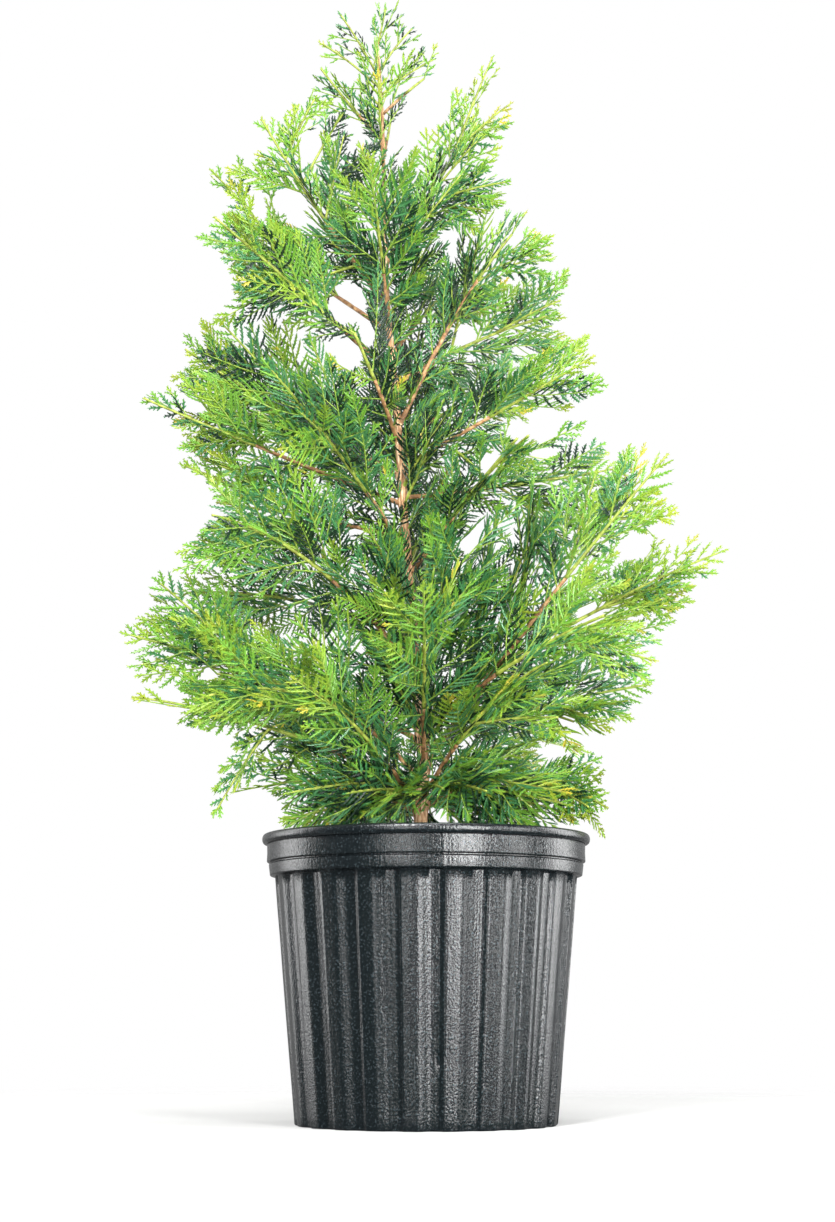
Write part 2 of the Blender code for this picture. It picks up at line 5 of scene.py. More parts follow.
import bpy
import numpy as np
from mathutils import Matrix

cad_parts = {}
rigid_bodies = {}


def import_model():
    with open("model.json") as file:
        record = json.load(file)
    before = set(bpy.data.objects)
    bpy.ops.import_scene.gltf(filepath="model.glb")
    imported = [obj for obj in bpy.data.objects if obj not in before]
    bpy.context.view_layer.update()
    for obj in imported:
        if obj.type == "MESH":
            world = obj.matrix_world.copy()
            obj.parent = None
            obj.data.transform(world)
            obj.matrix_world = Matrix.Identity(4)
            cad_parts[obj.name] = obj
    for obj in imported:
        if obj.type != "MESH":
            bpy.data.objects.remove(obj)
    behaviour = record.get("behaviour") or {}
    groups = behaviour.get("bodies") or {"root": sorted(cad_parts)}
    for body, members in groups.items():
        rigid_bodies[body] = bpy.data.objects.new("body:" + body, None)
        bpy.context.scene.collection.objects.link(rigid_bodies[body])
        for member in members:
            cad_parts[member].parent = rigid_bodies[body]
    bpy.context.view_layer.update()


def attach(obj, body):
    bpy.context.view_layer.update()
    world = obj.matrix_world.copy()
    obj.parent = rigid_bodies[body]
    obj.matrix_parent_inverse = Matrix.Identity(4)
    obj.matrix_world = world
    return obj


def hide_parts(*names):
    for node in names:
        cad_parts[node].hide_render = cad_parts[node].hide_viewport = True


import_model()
mm = 0.001


# Small helpers

def unit(vectors):
    return vectors / np.linalg.norm(vectors, axis=-1, keepdims=True)


def smooth(t):
    t = np.clip(t, 0, 1)
    return t * t * (3 - 2 * t)


def rising(values, low, high):
    # smoothly from 0 at the lower limit to 1 at the upper
    return smooth((values - low) / (high - low))


def seeded(name):
    return np.random.default_rng(random.Random(name).getrandbits(32))


def linear(hexColour):
    # sRGB hex to the linear colour that shaders take
    parts = [int(hexColour[i:i + 2], 16) / 255 for i in (1, 3, 5)]
    return [c / 12.92 if c <= 0.04045 else ((c + 0.055) / 1.055) ** 2.4 for c in parts] + [1.0]


def addNode(tree, kind, settings=None, inputs=None):
    # an input is a value, or the output socket of another node
    node = tree.nodes.new(kind)
    for name, value in (settings or {}).items():
        setattr(node, name, value)
    for name, value in (inputs or {}).items():
        if isinstance(value, bpy.types.NodeSocket):
            tree.links.new(value, node.inputs[name])
        else:
            node.inputs[name].default_value = value
    return node


def newMaterial(name, **sockets):
    # a material with its Principled shader's own sockets set, and its object coordinates
    material = bpy.data.materials.new(name)
    material.use_nodes = True
    tree = material.node_tree
    shader = tree.nodes["Principled BSDF"]
    for socket, value in sockets.items():
        shader.inputs[socket.replace("_", " ")].default_value = value
    return material, tree, shader, addNode(tree, "ShaderNodeTexCoord").outputs["Object"]


def connect(tree, shader, **sockets):
    # what comes into the shader from other nodes
    for socket, source in sockets.items():
        tree.links.new(source, shader.inputs[socket.replace("_", " ")])


def addMath(tree, operation, *values):
    return addNode(tree, "ShaderNodeMath", {"operation": operation}, dict(enumerate(values))).outputs[0]


def addRange(tree, value, fromLow, fromHigh, toLow=0.0, toHigh=1.0, kind="SMOOTHSTEP"):
    node = addNode(tree, "ShaderNodeMapRange", {"interpolation_type": kind}, {
        "Value": value, "From Min": fromLow, "From Max": fromHigh, "To Min": toLow, "To Max": toHigh})
    return node.outputs[0]


def addNoise(tree, vector, scale, detail, roughness=0.5):
    node = addNode(tree, "ShaderNodeTexNoise", inputs={
        "Vector": vector, "Scale": scale, "Detail": detail, "Roughness": roughness})
    return node.outputs["Fac"]


def addCells(tree, vector, scale):
    node = addNode(tree, "ShaderNodeTexVoronoi", inputs={"Vector": vector, "Scale": scale})
    return node.outputs["Distance"]


def addBump(tree, height, strength, depth, **more):
    node = addNode(tree, "ShaderNodeBump", inputs={
        "Height": height, "Strength": strength, "Distance": depth, **more})
    return node.outputs[0]


def addRamp(tree, factor, stops):
    # colours by a factor; each stop is its place and an sRGB hex
    node = addNode(tree, "ShaderNodeValToRGB", inputs={"Fac": factor})
    ramp = node.color_ramp
    while len(ramp.elements) < len(stops):
        ramp.elements.new(0.5)
    for element, (place, colour) in zip(ramp.elements, stops):
        element.position = place
        element.color = linear(colour)
    return node.outputs["Color"]


def makePiece(name, points, faces, material, nodes, smoothFaces=False):
    # one joined mesh from arrays, which rides on the one body and stands for those CAD nodes
    mesh = bpy.data.meshes.new(name)
    mesh.from_pydata(points, [], faces)
    mesh.materials.append(material)
    if smoothFaces:
        mesh.shade_smooth()
    piece = bpy.data.objects.new(name, mesh)
    bpy.context.scene.collection.objects.link(piece)
    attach(piece, "root")
    if nodes:
        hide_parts(*nodes)
    return piece


class Heap:
    # gathers the points and faces of one joined mesh
    def __init__(self):
        self.points = []
        self.faces = []
        self.triangles = 0

    def add(self, points, faces):
        points = np.asarray(points, float).reshape(-1, 3)
        for block in faces:
            block = np.asarray(block, int)
            self.faces.extend((block + len(self.points)).tolist())
            self.triangles += len(block) * (block.shape[1] - 2)
        self.points.extend(points.tolist())


def gridFaces(rows, columns):
    # quads between rings of points, closed round the columns
    row, column = np.meshgrid(np.arange(rows - 1), np.arange(columns), indexing="ij")
    across = (column + 1) % columns
    corners = [row * columns + column, row * columns + across,
               (row + 1) * columns + across, (row + 1) * columns + column]
    return np.stack(corners, -1).reshape(-1, 4)


def ringAngles(count):
    return 2 * math.pi * np.arange(count) / count


def squareTo(vectors, headings):
    # the vectors turned square to the headings
    return unit(vectors - headings * (vectors * headings).sum(-1, keepdims=True))


def addRings(heap, rings, foot, tip):
    # a closed skin through rings of points, with a middle point at either end
    rows, sides = rings.shape[:2]
    near = np.arange(sides)
    far = (near + 1) % sides
    last = (rows - 1) * sides
    caps = [
        np.stack([np.full(sides, rows * sides), far, near], -1),
        np.stack([np.full(sides, rows * sides + 1), last + near, last + far], -1),
    ]
    heap.add(np.concatenate([rings.reshape(-1, 3), [foot, tip]]), [gridFaces(rows, sides), *caps])


def addTube(heap, centres, headings, across, radii):
    # rings swept along the centres; radii has a row for each ring
    flat = squareTo(across, headings)
    normal = np.cross(headings, flat)
    angle = ringAngles(radii.shape[1])[None, :, None]
    ring = np.cos(angle) * flat[:, None] + np.sin(angle) * normal[:, None]
    addRings(heap, centres[:, None] + radii[..., None] * ring, centres[0], centres[-1])


def latticeNoise(u, v, rows, columns, rng):
    # smooth noise from 0 to 1 over a lattice that closes round the columns
    lattice = rng.random((rows + 2, columns))
    i, j = np.floor(u).astype(int), np.floor(v).astype(int)
    a, b = smooth(u - i), smooth(v - j)
    i = np.clip(i, 0, rows)
    low = lattice[i, j % columns] * (1 - b) + lattice[i, (j + 1) % columns] * b
    high = lattice[i + 1, j % columns] * (1 - b) + lattice[i + 1, (j + 1) % columns] * b
    return low * (1 - a) + high * a


def roundNoise(along, around, size, cells, reach, rng):
    # the same on a round thing: metres along it, up to its reach, and turns round it
    rows = int(reach / size) + 2
    return latticeNoise(along / size + 0 * around, around * cells + 0 * along, rows, cells, rng)


# Camera and stage

cameraPlace = {
    "frameHeight": 1222,  # pixels of the photograph
    "focalPixels": 2195.7,
    "location": (-0.0073, -1.88, 0.096),
    "pitch": 10.25,  # degrees above the level
    "sensor": 36,
}


def makeCamera():
    data = bpy.data.cameras.new("camera")
    data.sensor_width = cameraPlace["sensor"]
    data.lens = cameraPlace["focalPixels"] * cameraPlace["sensor"] / cameraPlace["frameHeight"]
    camera = bpy.data.objects.new("camera", data)
    camera.location = cameraPlace["location"]
    camera.rotation_euler = (math.radians(90 + cameraPlace["pitch"]), 0, 0)
    bpy.context.scene.collection.objects.link(camera)
    bpy.context.scene.camera = camera


studio = {
    "floorRadius": 6.0,
    "floorSides": 96,
    "floorColour": "#c8c8c7",
    "floorSolid": 0.32,  # the floor melts into the white backdrop from here
    "floorGone": 1.00,
    "surround": 0.50,  # light from the white walls
    "frontWall": 0.05,  # the room behind the camera is dark, so a black pot stays black
    "wallStart": (-0.18, 0.56),  # where they begin on the way round, and where they are full
    "leftForward": -0.30,  # the left wall comes further to the front
    "below": 0.5,  # light from under the level, as a share of the walls'
    "level": (-0.3, 0.1),  # where the one gives way to the other
    "backdrop": 1.0,
}

# name: place, aimed at, width, height, watts
softboxes = {
    "key": ((-0.8, -2.45, 2.4), (0, 0, 0.50), 0.7, 0.7, 127),
    "top": ((0.35, -0.5, 2.9), (0, 0, 0.5), 1.2, 1.2, 58),
    "front_right": ((1.04, -1.95, 0.5), (0, 0, 0.25), 0.50, 1.6, 72),
    "side_right": ((1.85, -0.85, 0.5), (0, 0, 0.25), 0.36, 1.5, 24),
    "front_left": ((-0.62, -2.10, 0.45), (0, 0, 0.30), 0.25, 1.3, 16),
    "low_fill": ((0.1, -1.7, 0.4), (0, 0, 0.38), 0.6, 0.4, 24),
    "rim_left": ((-2.0, 0.7, 0.7), (0, 0, 0.3), 0.9, 1.8, 28),
    "rim_right": ((2.0, 0.7, 0.7), (0, 0, 0.3), 0.9, 1.8, 40),
}


def makeWorld():
    world = bpy.data.worlds.new("white_studio")
    world.use_nodes = True
    tree = world.node_tree
    tree.nodes.clear()
    white = (1, 1, 1, 1)
    seen = addNode(tree, "ShaderNodeBackground", inputs={"Color": white, "Strength": studio["backdrop"]})
    place = addNode(tree, "ShaderNodeTexCoord")
    toward = addNode(tree, "ShaderNodeSeparateXYZ", inputs={0: place.outputs["Generated"]})
    skewed = addMath(tree, "MULTIPLY_ADD", toward.outputs["X"], studio["leftForward"], toward.outputs["Y"])
    behind = addRange(tree, skewed, *studio["wallStart"], studio["frontWall"], studio["surround"])
    above = addRange(tree, toward.outputs["Z"], *studio["level"], studio["below"], 1.0)
    walls = addMath(tree, "MULTIPLY", behind, above)
    lit = addNode(tree, "ShaderNodeBackground", inputs={"Color": white, "Strength": walls})
    path = addNode(tree, "ShaderNodeLightPath")
    either = addNode(tree, "ShaderNodeMixShader", inputs={
        0: path.outputs["Is Camera Ray"], 1: lit.outputs[0], 2: seen.outputs[0]})
    addNode(tree, "ShaderNodeOutputWorld", inputs={"Surface": either.outputs[0]})
    bpy.context.scene.world = world
    bpy.context.scene.view_settings.view_transform = "Standard"


def makeSoftboxes():
    for name, (place, target, width, height, watts) in softboxes.items():
        data = bpy.data.lights.new(name, "AREA")
        data.shape = "RECTANGLE"
        data.size = width
        data.size_y = height
        data.energy = watts
        light = bpy.data.objects.new(name, data)
        light.location = place
        aim = unit(np.array(target) - np.array(place))
        light.rotation_euler = (math.acos(-aim[2]), 0, math.atan2(-aim[0], aim[1]))
        light.visible_camera = False
        light.visible_glossy = name != "low_fill"  # it opens the shade without a mark on the pot
        bpy.context.scene.collection.objects.link(light)


def makeFloor():
    # Matt white paper: an even white that takes a soft shadow and has no shine.
    bpy.ops.mesh.primitive_circle_add(
        vertices=studio["floorSides"], radius=studio["floorRadius"], fill_type="NGON")
    floor = bpy.context.object
    floor.name = "floor"
    material, tree, shader, place = newMaterial(
        "matt_white_paper", Base_Color=linear(studio["floorColour"]), Roughness=0.9)
    # the sheet fades to the backdrop with the distance from the pot, so there is no horizon
    away = addNode(tree, "ShaderNodeVectorMath", {"operation": "LENGTH"}, {0: place})
    fade = addRange(tree, away.outputs["Value"], studio["floorSolid"], studio["floorGone"])
    clear = addNode(tree, "ShaderNodeBsdfTransparent")
    mixed = addNode(tree, "ShaderNodeMixShader", inputs={
        0: fade, 1: shader.outputs[0], 2: clear.outputs[0]})
    tree.links.new(mixed.outputs[0], tree.nodes["Material Output"].inputs["Surface"])
    floor.data.materials.append(material)
    floor.visible_glossy = False  # or the whole pot would mirror white paper


makeCamera()
makeWorld()
makeSoftboxes()
makeFloor()
print("camera and studio ready")


# Pot: a no. 3 container, blow-moulded in black polyethylene

pot = {
    "height": 241 * mm,
    "baseRadius": 110 * mm,
    "shoulderHeight": 205.2 * mm,
    "shoulderRadius": 128.3 * mm,
    "lowerBandRadius": 133.8 * mm,
    "lowerBandTop": 216.0 * mm,
    "bandSlope": 1.0 * mm,
    "grooveDepth": 1.6 * mm,
    "upperBandRadius": 135.5 * mm,
    "upperBandBottom": 217.6 * mm,
    "upperBandTop": 232.8 * mm,
    "upperBandHollow": 0.25 * mm,
    "lipRadius": 139.6 * mm,
    "lipHalf": 3.4 * mm,  # half the roll's width
    "lipFullness": 0.7,  # under 1 is rounder than a half circle
    "wall": 2.0 * mm,
    "floor": 3.0 * mm,
    "underRing": 0.35,  # of the base radius
    "footEdge": 6 * mm,  # the flutes begin to show under the foot
    "footRound": 1.8 * mm,
    "bandRound": 0.9 * mm,
    "flutes": 22,
    "fluteDepth": 3.8 * mm,
    "fluteEdge": -83.2,  # degrees; one ridge's edge, just right of the front
    "ridgeShare": 0.33,
    "fallShare": 0.38,  # each ridge falls off slowly on one side
    "riseShare": 0.10,  # and stands up sharply on the other
    "columnsPerFlute": 24,
    "bodyRows": 26,
    "edgeRows": 5,
    "lipRows": 15,
    "partingLine": -84.3,  # degrees; the mould's halves meet here and opposite
    "partingRise": 0.5 * mm,
    "partingWidth": 1.6 * mm,
    "partingFrom": 8 * mm,
    "ragged": (7 * mm, 60),  # height of the flash's waves, and how many go round
    "notch": (55 * mm, 6 * mm, 1.8 * mm),  # a nick in it: height, half its length, depth
    "notchRows": 9,
    "waviness": 0.25 * mm,  # blown walls are never quite true
    "waves": (30 * mm, 40),
    "sharpFrom": 60,  # degrees between faces that keep their edge
    "seed": 31,
}


def fluteDip(angle):
    # 0 on a ridge and 1 in the hollow between two
    period = 2 * math.pi / pot["flutes"]
    share = ((angle - math.radians(pot["fluteEdge"])) / period) % 1.0
    down = smooth((share - pot["ridgeShare"]) / pot["fallShare"])
    up = smooth((share - 1 + pot["riseShare"]) / pot["riseShare"])
    return down - up


def arc(radius, height, rounded, first, last, rows=pot["edgeRows"], flutes=0):
    # profile points round an edge's centre, angles in degrees
    turns = np.radians(np.linspace(first, last, rows))
    return [(radius + rounded * math.cos(a), height + rounded * math.sin(a), flutes) for a in turns]


def innerRadius(height):
    base = pot["baseRadius"] - pot["fluteDepth"] - pot["wall"]
    shoulder = pot["shoulderRadius"] - pot["fluteDepth"] - pot["wall"]
    return base + (shoulder - base) * (height - pot["floor"]) / (pot["shoulderHeight"] - pot["floor"])


def outerProfile():
    # (radius, height, how far the flutes show) from the underside up and over the lip
    base, shoulder = pot["baseRadius"], pot["shoulderRadius"]
    foot, rounded = pot["footRound"], pot["bandRound"]
    rows = [(pot["underRing"] * base, 0.0, 0), (base - pot["footEdge"], 0.0, 0.3)]
    rows += arc(base - foot, foot, foot, -90, -5, flutes=1)
    top = pot["shoulderHeight"] - 0.6 * mm
    nick, half, _ = pot["notch"]
    nickRows = (np.linspace(nick - half, nick + half, pot["notchRows"]) - foot) / (top - foot)
    rise = np.union1d(np.linspace(0, 1, pot["bodyRows"]), nickRows)[1:]
    rows += [(base + (shoulder - base) * t, foot + (top - foot) * t, 1) for t in rise]
    # the flutes run out under the lower band
    rows.append((shoulder + 0.4 * mm, pot["shoulderHeight"], 0.72))
    rows.append((shoulder + 1.6 * mm, pot["shoulderHeight"] + 0.5 * mm, 0))
    low = pot["lowerBandRadius"] - pot["bandSlope"]
    rows += arc(low - rounded, pot["shoulderHeight"] + pot["bandSlope"] + rounded, rounded, -80, 0)
    rows += arc(pot["lowerBandRadius"] - rounded, pot["lowerBandTop"] - rounded, rounded, 0, 75)
    groove = pot["lowerBandRadius"] - pot["grooveDepth"]
    rows.append((groove, pot["lowerBandTop"] + 0.5 * mm, 0))
    rows.append((groove, pot["upperBandBottom"] - 0.3 * mm, 0))
    upper, bottom, top = pot["upperBandRadius"], pot["upperBandBottom"], pot["upperBandTop"]
    rows += arc(upper - rounded, bottom + rounded, rounded, -70, 0)
    rows.append((upper - pot["upperBandHollow"], (bottom + top) / 2, 0))
    rows += arc(upper - rounded / 2, top - rounded / 2, rounded / 2, 0, 60, rows=3)
    # the lip is rolled outwards: a fat half round with a crease under it
    tall = pot["height"] - top
    middle = pot["height"] - tall / 2
    inner = pot["lipRadius"] - pot["lipHalf"]
    for turn in np.radians(np.linspace(-86, 90, pot["lipRows"])):
        rows.append((inner + pot["lipHalf"] * math.cos(turn) ** pot["lipFullness"],
                     middle + tall / 2 * math.sin(turn), 0))
    return rows


def innerProfile():
    # from the lip down the inside to the floor
    inner = pot["lowerBandRadius"] - pot["wall"]
    return [
        (pot["lipRadius"] - 4.6 * mm, pot["height"] - 0.5 * mm, 0),
        (inner + 2.0 * mm, pot["height"] - 2.4 * mm, 0),
        (inner + 0.8 * mm, pot["upperBandTop"], 0),
        (inner, pot["shoulderHeight"] + pot["wall"], 0),
        (innerRadius(pot["shoulderHeight"]), pot["shoulderHeight"], 0),
        (innerRadius(pot["floor"]), pot["floor"], 0),
    ]


def blackPolyethylene():
    # Black HDPE, blow-moulded: a satin black skin that mirrors the side walls as grey-white.
    # The parison's drag leaves upright lines that glint, and the mould's face a fine pebble.
    dragLine = 1.3  # mm apart round the wall
    wallRadius = 120.0  # mm, the mean
    linesUp = 11.0  # a metre, so a line runs on for about 90 mm
    pebble = 1.6  # mm
    material, tree, shader, place = newMaterial("black_blow_moulded_hdpe", IOR=1.54)
    parts = addNode(tree, "ShaderNodeSeparateXYZ", inputs={0: place})
    turn = addMath(tree, "ARCTAN2", parts.outputs["X"], addMath(tree, "MULTIPLY", parts.outputs["Y"], -1.0))
    around = addMath(tree, "MULTIPLY", turn, wallRadius / dragLine)
    up = addMath(tree, "MULTIPLY", parts.outputs["Z"], linesUp)
    wall = addNode(tree, "ShaderNodeCombineXYZ", inputs={"X": around, "Y": up})
    drag = addNoise(tree, wall.outputs[0], 1.0, 2.0, 0.6)
    grain = addNoise(tree, place, 1000.0 / pebble, 2.0)
    # the pebbles' tops are painted paler: painted glints on the pebbles, and scuffs
    scuffAndGlint = addRamp(tree, grain, [(0.55, "#0c1113"), (0.70, "#252c2f")])
    # streaks of duller and brighter skin, each a few lines wide
    streak = addNoise(tree, wall.outputs[0], 0.3, 3.0, 0.7)
    dull = addRange(tree, streak, 0.3, 0.7, 0.17, 0.28, "LINEAR")
    lines = addBump(tree, drag, 0.6, 0.30 * mm)
    pebbles = addBump(tree, grain, 0.9, 0.36 * mm, Normal=lines)
    connect(tree, shader, Base_Color=scuffAndGlint, Roughness=dull, Normal=pebbles)
    return material


def makePot():
    columns = pot["flutes"] * pot["columnsPerFlute"]
    angle = ringAngles(columns)
    outside, inside = outerProfile(), innerProfile()
    profile = np.array(outside + inside)
    radius = profile[:, :1] - pot["fluteDepth"] * profile[:, 2:] * fluteDip(angle)
    height = np.repeat(profile[:, 1:2], columns, 1)
    outer = (np.arange(len(profile)) < len(outside))[:, None]
    wall = (height > pot["partingFrom"]) & (height < pot["upperBandTop"]) & outer
    # the mould's parting line stands proud on the two sides
    seam = math.radians(pot["partingLine"])
    apart = np.abs((angle - seam + math.pi / 2) % math.pi - math.pi / 2) * pot["shoulderRadius"]
    rng = np.random.default_rng(pot["seed"])
    turns = angle / (2 * math.pi)
    ragged = roundNoise(height, turns, *pot["ragged"], pot["height"], rng)
    rise = pot["partingRise"] * np.clip(1 - apart / pot["partingWidth"], 0, 1) * (0.3 + ragged)
    radius = radius + wall * rise
    nick, half, deep = pot["notch"]
    dent = np.clip(1 - np.abs(height - nick) / half, 0, 1) ** 0.5 * (apart < 1.5 * pot["partingWidth"])
    front = np.sin(angle) < 0
    radius = radius - wall * front * deep * dent
    slow = roundNoise(height, turns, *pot["waves"], pot["height"], rng) - 0.5
    radius = radius + wall * pot["waviness"] * slow
    heap = Heap()
    addRings(heap, np.stack([radius * np.cos(angle), radius * np.sin(angle), height], -1),
             (0, 0, 0), (0, 0, pot["floor"]))
    piece = makePiece("fluted_pot", heap.points, heap.faces, blackPolyethylene(),
                      ["pot"], smoothFaces=True)
    piece.data.set_sharp_from_angle(angle=math.radians(pot["sharpFrom"]))
    print("pot:", heap.triangles, "triangles")


makePot()


# Potting mix: composted bark with white perlite

mix = {
    "top": 220 * mm,
    "rings": 70,
    "columns": 150,
    "relief": ((22 * mm, 3.0 * mm), (9 * mm, 4.0 * mm), (3.2 * mm, 1.4 * mm)),  # width, height
    "mound": (30 * mm, 3.5 * mm),  # the same, at the stem
    "edgeGap": 0.6 * mm,
    "chips": 3200,
    "chipLength": (2.5 * mm, 8.5 * mm),
    "grains": 2800,
    "grainSize": (0.8 * mm, 2.0 * mm),
    "perlites": 430,
    "perliteSize": (1.2 * mm, 3.6 * mm),
    "looseGap": 4 * mm,  # between these bits and the wall
    "roughness": 0.45,
    "settled": 0.75,  # bits lie flatter than they were turned
    "stem": -5 * mm,  # right of the axis
    "clearOfStem": 8 * mm,
    "seed": 7,
}


def compostedBark(name, colours):
    # Composted pine bark, damp: near black to red-brown, matt, with a rough broken face.
    crumb = 2.2  # mm
    material, tree, shader, place = newMaterial(name, Roughness=0.92, Specular_IOR_Level=0.25)
    patch = addNoise(tree, place, 1000.0 / (2.5 * crumb), 4.0)
    fibre = addNoise(tree, place, 1000.0 / crumb, 5.0)
    connect(tree, shader, Base_Color=addRamp(tree, patch, colours),
            Normal=addBump(tree, fibre, 0.8, 0.8 * mm))
    return material


def expandedPerlite():
    # Perlite, popped volcanic glass: chalk white, matt, full of tiny pits.
    pit = 0.6  # mm
    material, tree, shader, place = newMaterial(
        "expanded_perlite", Base_Color=linear("#e6e0d6"), Roughness=0.85, Specular_IOR_Level=0.3)
    connect(tree, shader, Normal=addBump(tree, addCells(tree, place, 1000.0 / pit), 0.6, 0.3 * mm))
    return material


def mixHeight(x, y):
    # the surface's height, swells, lumps and crumbs together
    rng = np.random.default_rng(mix["seed"])
    size = 2 * pot["lowerBandRadius"]
    total = np.zeros_like(x)
    for cell, rise in mix["relief"]:
        cells = int(size / cell) + 3
        noise = latticeNoise((x + size / 2) / cell, (y + size / 2) / cell, cells, cells, rng)
        total = total + rise * (noise - 0.5)
    wide, rise = mix["mound"]
    total = total + rise * np.exp(-(np.hypot(x - mix["stem"], y) / wide) ** 2)
    return mix["top"] + total


def randomTurns(count, rng):
    # one random rotation matrix for each piece
    q = unit(rng.normal(size=(count, 4)))
    w, x, y, z = q.T
    rows = [
        [1 - 2 * (y * y + z * z), 2 * (x * y - z * w), 2 * (x * z + y * w)],
        [2 * (x * y + z * w), 1 - 2 * (x * x + z * z), 2 * (y * z - x * w)],
        [2 * (x * z - y * w), 2 * (y * z + x * w), 1 - 2 * (x * x + y * y)],
    ]
    return np.array(rows).transpose(2, 0, 1)


def scatter(heap, count, sizes, flatness, shape, faces, sink, rng):
    # small bits of one rough shape, each turned, stretched and jittered, lying on the surface
    limit = pot["lowerBandRadius"] - pot["wall"] - mix["looseGap"]
    away = limit * np.sqrt(rng.random(count))
    turn = 2 * math.pi * rng.random(count)
    x, y = away * np.cos(turn), away * np.sin(turn)
    x[np.hypot(x - mix["stem"], y) < mix["clearOfStem"]] += 2 * mix["clearOfStem"]
    long = rng.uniform(*sizes, count) * rng.uniform(0.6, 1.0, count)
    scale = np.stack([long, long * rng.uniform(*flatness, count), long * rng.uniform(*flatness, count)], -1)
    jitter = 1 + mix["roughness"] * (rng.random((count, *shape.shape)) - 0.5)
    bits = shape[None] * jitter * scale[:, None] / 2
    bits = np.einsum("nij,npj->npi", randomTurns(count, rng), bits)
    bits[..., 2] *= mix["settled"]
    bits += np.stack([x, y, mixHeight(x, y) + sink * long], -1)[:, None]
    corners = faces[None] + (np.arange(count) * len(shape))[:, None, None]
    heap.add(bits, [corners.reshape(-1, 3)])


def mixSurface():
    # the lumpy top and, under it, a plain skin just clear of the pot's inside
    columns, gap = mix["columns"], mix["edgeGap"]
    angle = ringAngles(columns)
    edge = pot["lowerBandRadius"] - pot["wall"] - gap
    reach = edge * np.linspace(0.01, 1, mix["rings"])[:, None]
    x, y = reach * np.cos(angle), reach * np.sin(angle)
    surface = np.stack([x, y, mixHeight(x, y)], -1)[::-1]
    skin = [
        (innerRadius(pot["floor"]) - gap, pot["floor"] + gap),
        (innerRadius(pot["shoulderHeight"]) - gap, pot["shoulderHeight"] + gap),
        (edge, pot["shoulderHeight"] + pot["wall"] + gap),
    ]
    below = [np.stack([r * np.cos(angle), r * np.sin(angle), np.full(columns, h)], -1) for r, h in skin]
    heap = Heap()
    addRings(heap, np.concatenate([np.array(below), surface]),
             (0, 0, skin[0][1]), (0, 0, surface[-1, :, 2].mean()))
    return heap


def makeMix():
    heap = mixSurface()
    soil = compostedBark("damp_bark_compost", [(0.3, "#170d0c"), (0.5, "#2c1714"), (0.72, "#47271f")])
    makePiece("mix_surface", heap.points, heap.faces, soil, ["potting_mix"], True)

    rng = np.random.default_rng(mix["seed"])
    diamond = np.array([(1, 0, 0), (-1, 0, 0), (0, 1, 0), (0, -1, 0), (0, 0, 1), (0, 0, -1)], float)
    diamondFaces = np.array([(0, 2, 4), (2, 1, 4), (1, 3, 4), (3, 0, 4),
                             (2, 0, 5), (1, 2, 5), (3, 1, 5), (0, 3, 5)])
    chips = Heap()
    scatter(chips, mix["chips"], mix["chipLength"], (0.25, 0.55), diamond, diamondFaces, 0.05, rng)
    scatter(chips, mix["grains"], mix["grainSize"], (0.6, 1.0), diamond, diamondFaces, 0.2, rng)
    bark = compostedBark("bark_chips", [(0.32, "#21110f"), (0.5, "#44251e"), (0.7, "#6b3f2f")])
    makePiece("mix_chips", chips.points, chips.faces, bark, ["potting_mix"])

    # perlite is made of icosahedra
    golden = (1 + 5 ** 0.5) / 2
    ball = unit(np.array([(-1, golden, 0), (1, golden, 0), (-1, -golden, 0), (1, -golden, 0),
                          (0, -1, golden), (0, 1, golden), (0, -1, -golden), (0, 1, -golden),
                          (golden, 0, -1), (golden, 0, 1), (-golden, 0, -1), (-golden, 0, 1)], float))
    ballFaces = np.array([(0, 11, 5), (0, 5, 1), (0, 1, 7), (0, 7, 10), (0, 10, 11),
                          (1, 5, 9), (5, 11, 4), (11, 10, 2), (10, 7, 6), (7, 1, 8),
                          (3, 9, 4), (3, 4, 2), (3, 2, 6), (3, 6, 8), (3, 8, 9),
                          (4, 9, 5), (2, 4, 11), (6, 2, 10), (8, 6, 7), (9, 8, 1)])
    perlite = Heap()
    scatter(perlite, mix["perlites"], mix["perliteSize"], (0.7, 1.0), ball, ballFaces, 0.25, rng)
    makePiece("mix_perlite", perlite.points, perlite.faces, expandedPerlite(), ["potting_mix"])
    print("mix:", heap.triangles + chips.triangles + perlite.triangles, "triangles")


makeMix()


# Trunk: its line through the plant, as in the solids

# height, right of and behind the pot's axis, radius
trunkLine = np.array([
    (0.2203, -0.0050, 0.000, 0.0086),
    (0.232, -0.0048, 0.000, 0.0068),
    (0.262, -0.0042, 0.001, 0.0060),
    (0.310, -0.0026, 0.002, 0.0057),
    (0.380, -0.0085, 0.001, 0.0052),
    (0.455, -0.0135, 0.000, 0.0045),
    (0.530, -0.0200, 0.000, 0.0038),
    (0.626, -0.0263, 0.002, 0.0031),
    (0.720, -0.0345, 0.003, 0.0025),
    (0.800, -0.0372, 0.002, 0.0020),
    (0.880, -0.0388, 0.000, 0.0015),
    (0.961, -0.0433, 0.000, 0.0010),
])

trunk = {
    "sides": 28,
    "ringSpacing": 1.9 * mm,
    "strips": 11,  # fibres of bark side by side round the stem
    "stripLength": 26 * mm,
    "fineLength": 9 * mm,  # of finer ones, twice as many
    "relief": 0.15,  # of the radius
    "twist": 1.2,  # turns of the fibres in a metre of height
    "collar": 0.55,  # swelling where a limb leaves, in radii of the limb
    "collarAbove": 2 * mm,
    "collarHeight": 5 * mm,
    "flareHeight": 14 * mm,
    "flareRibs": 5,
    "flare": 0.16,  # of the radius
    "below": 5 * mm,  # carried down into the mix
    "seed": 3,
}

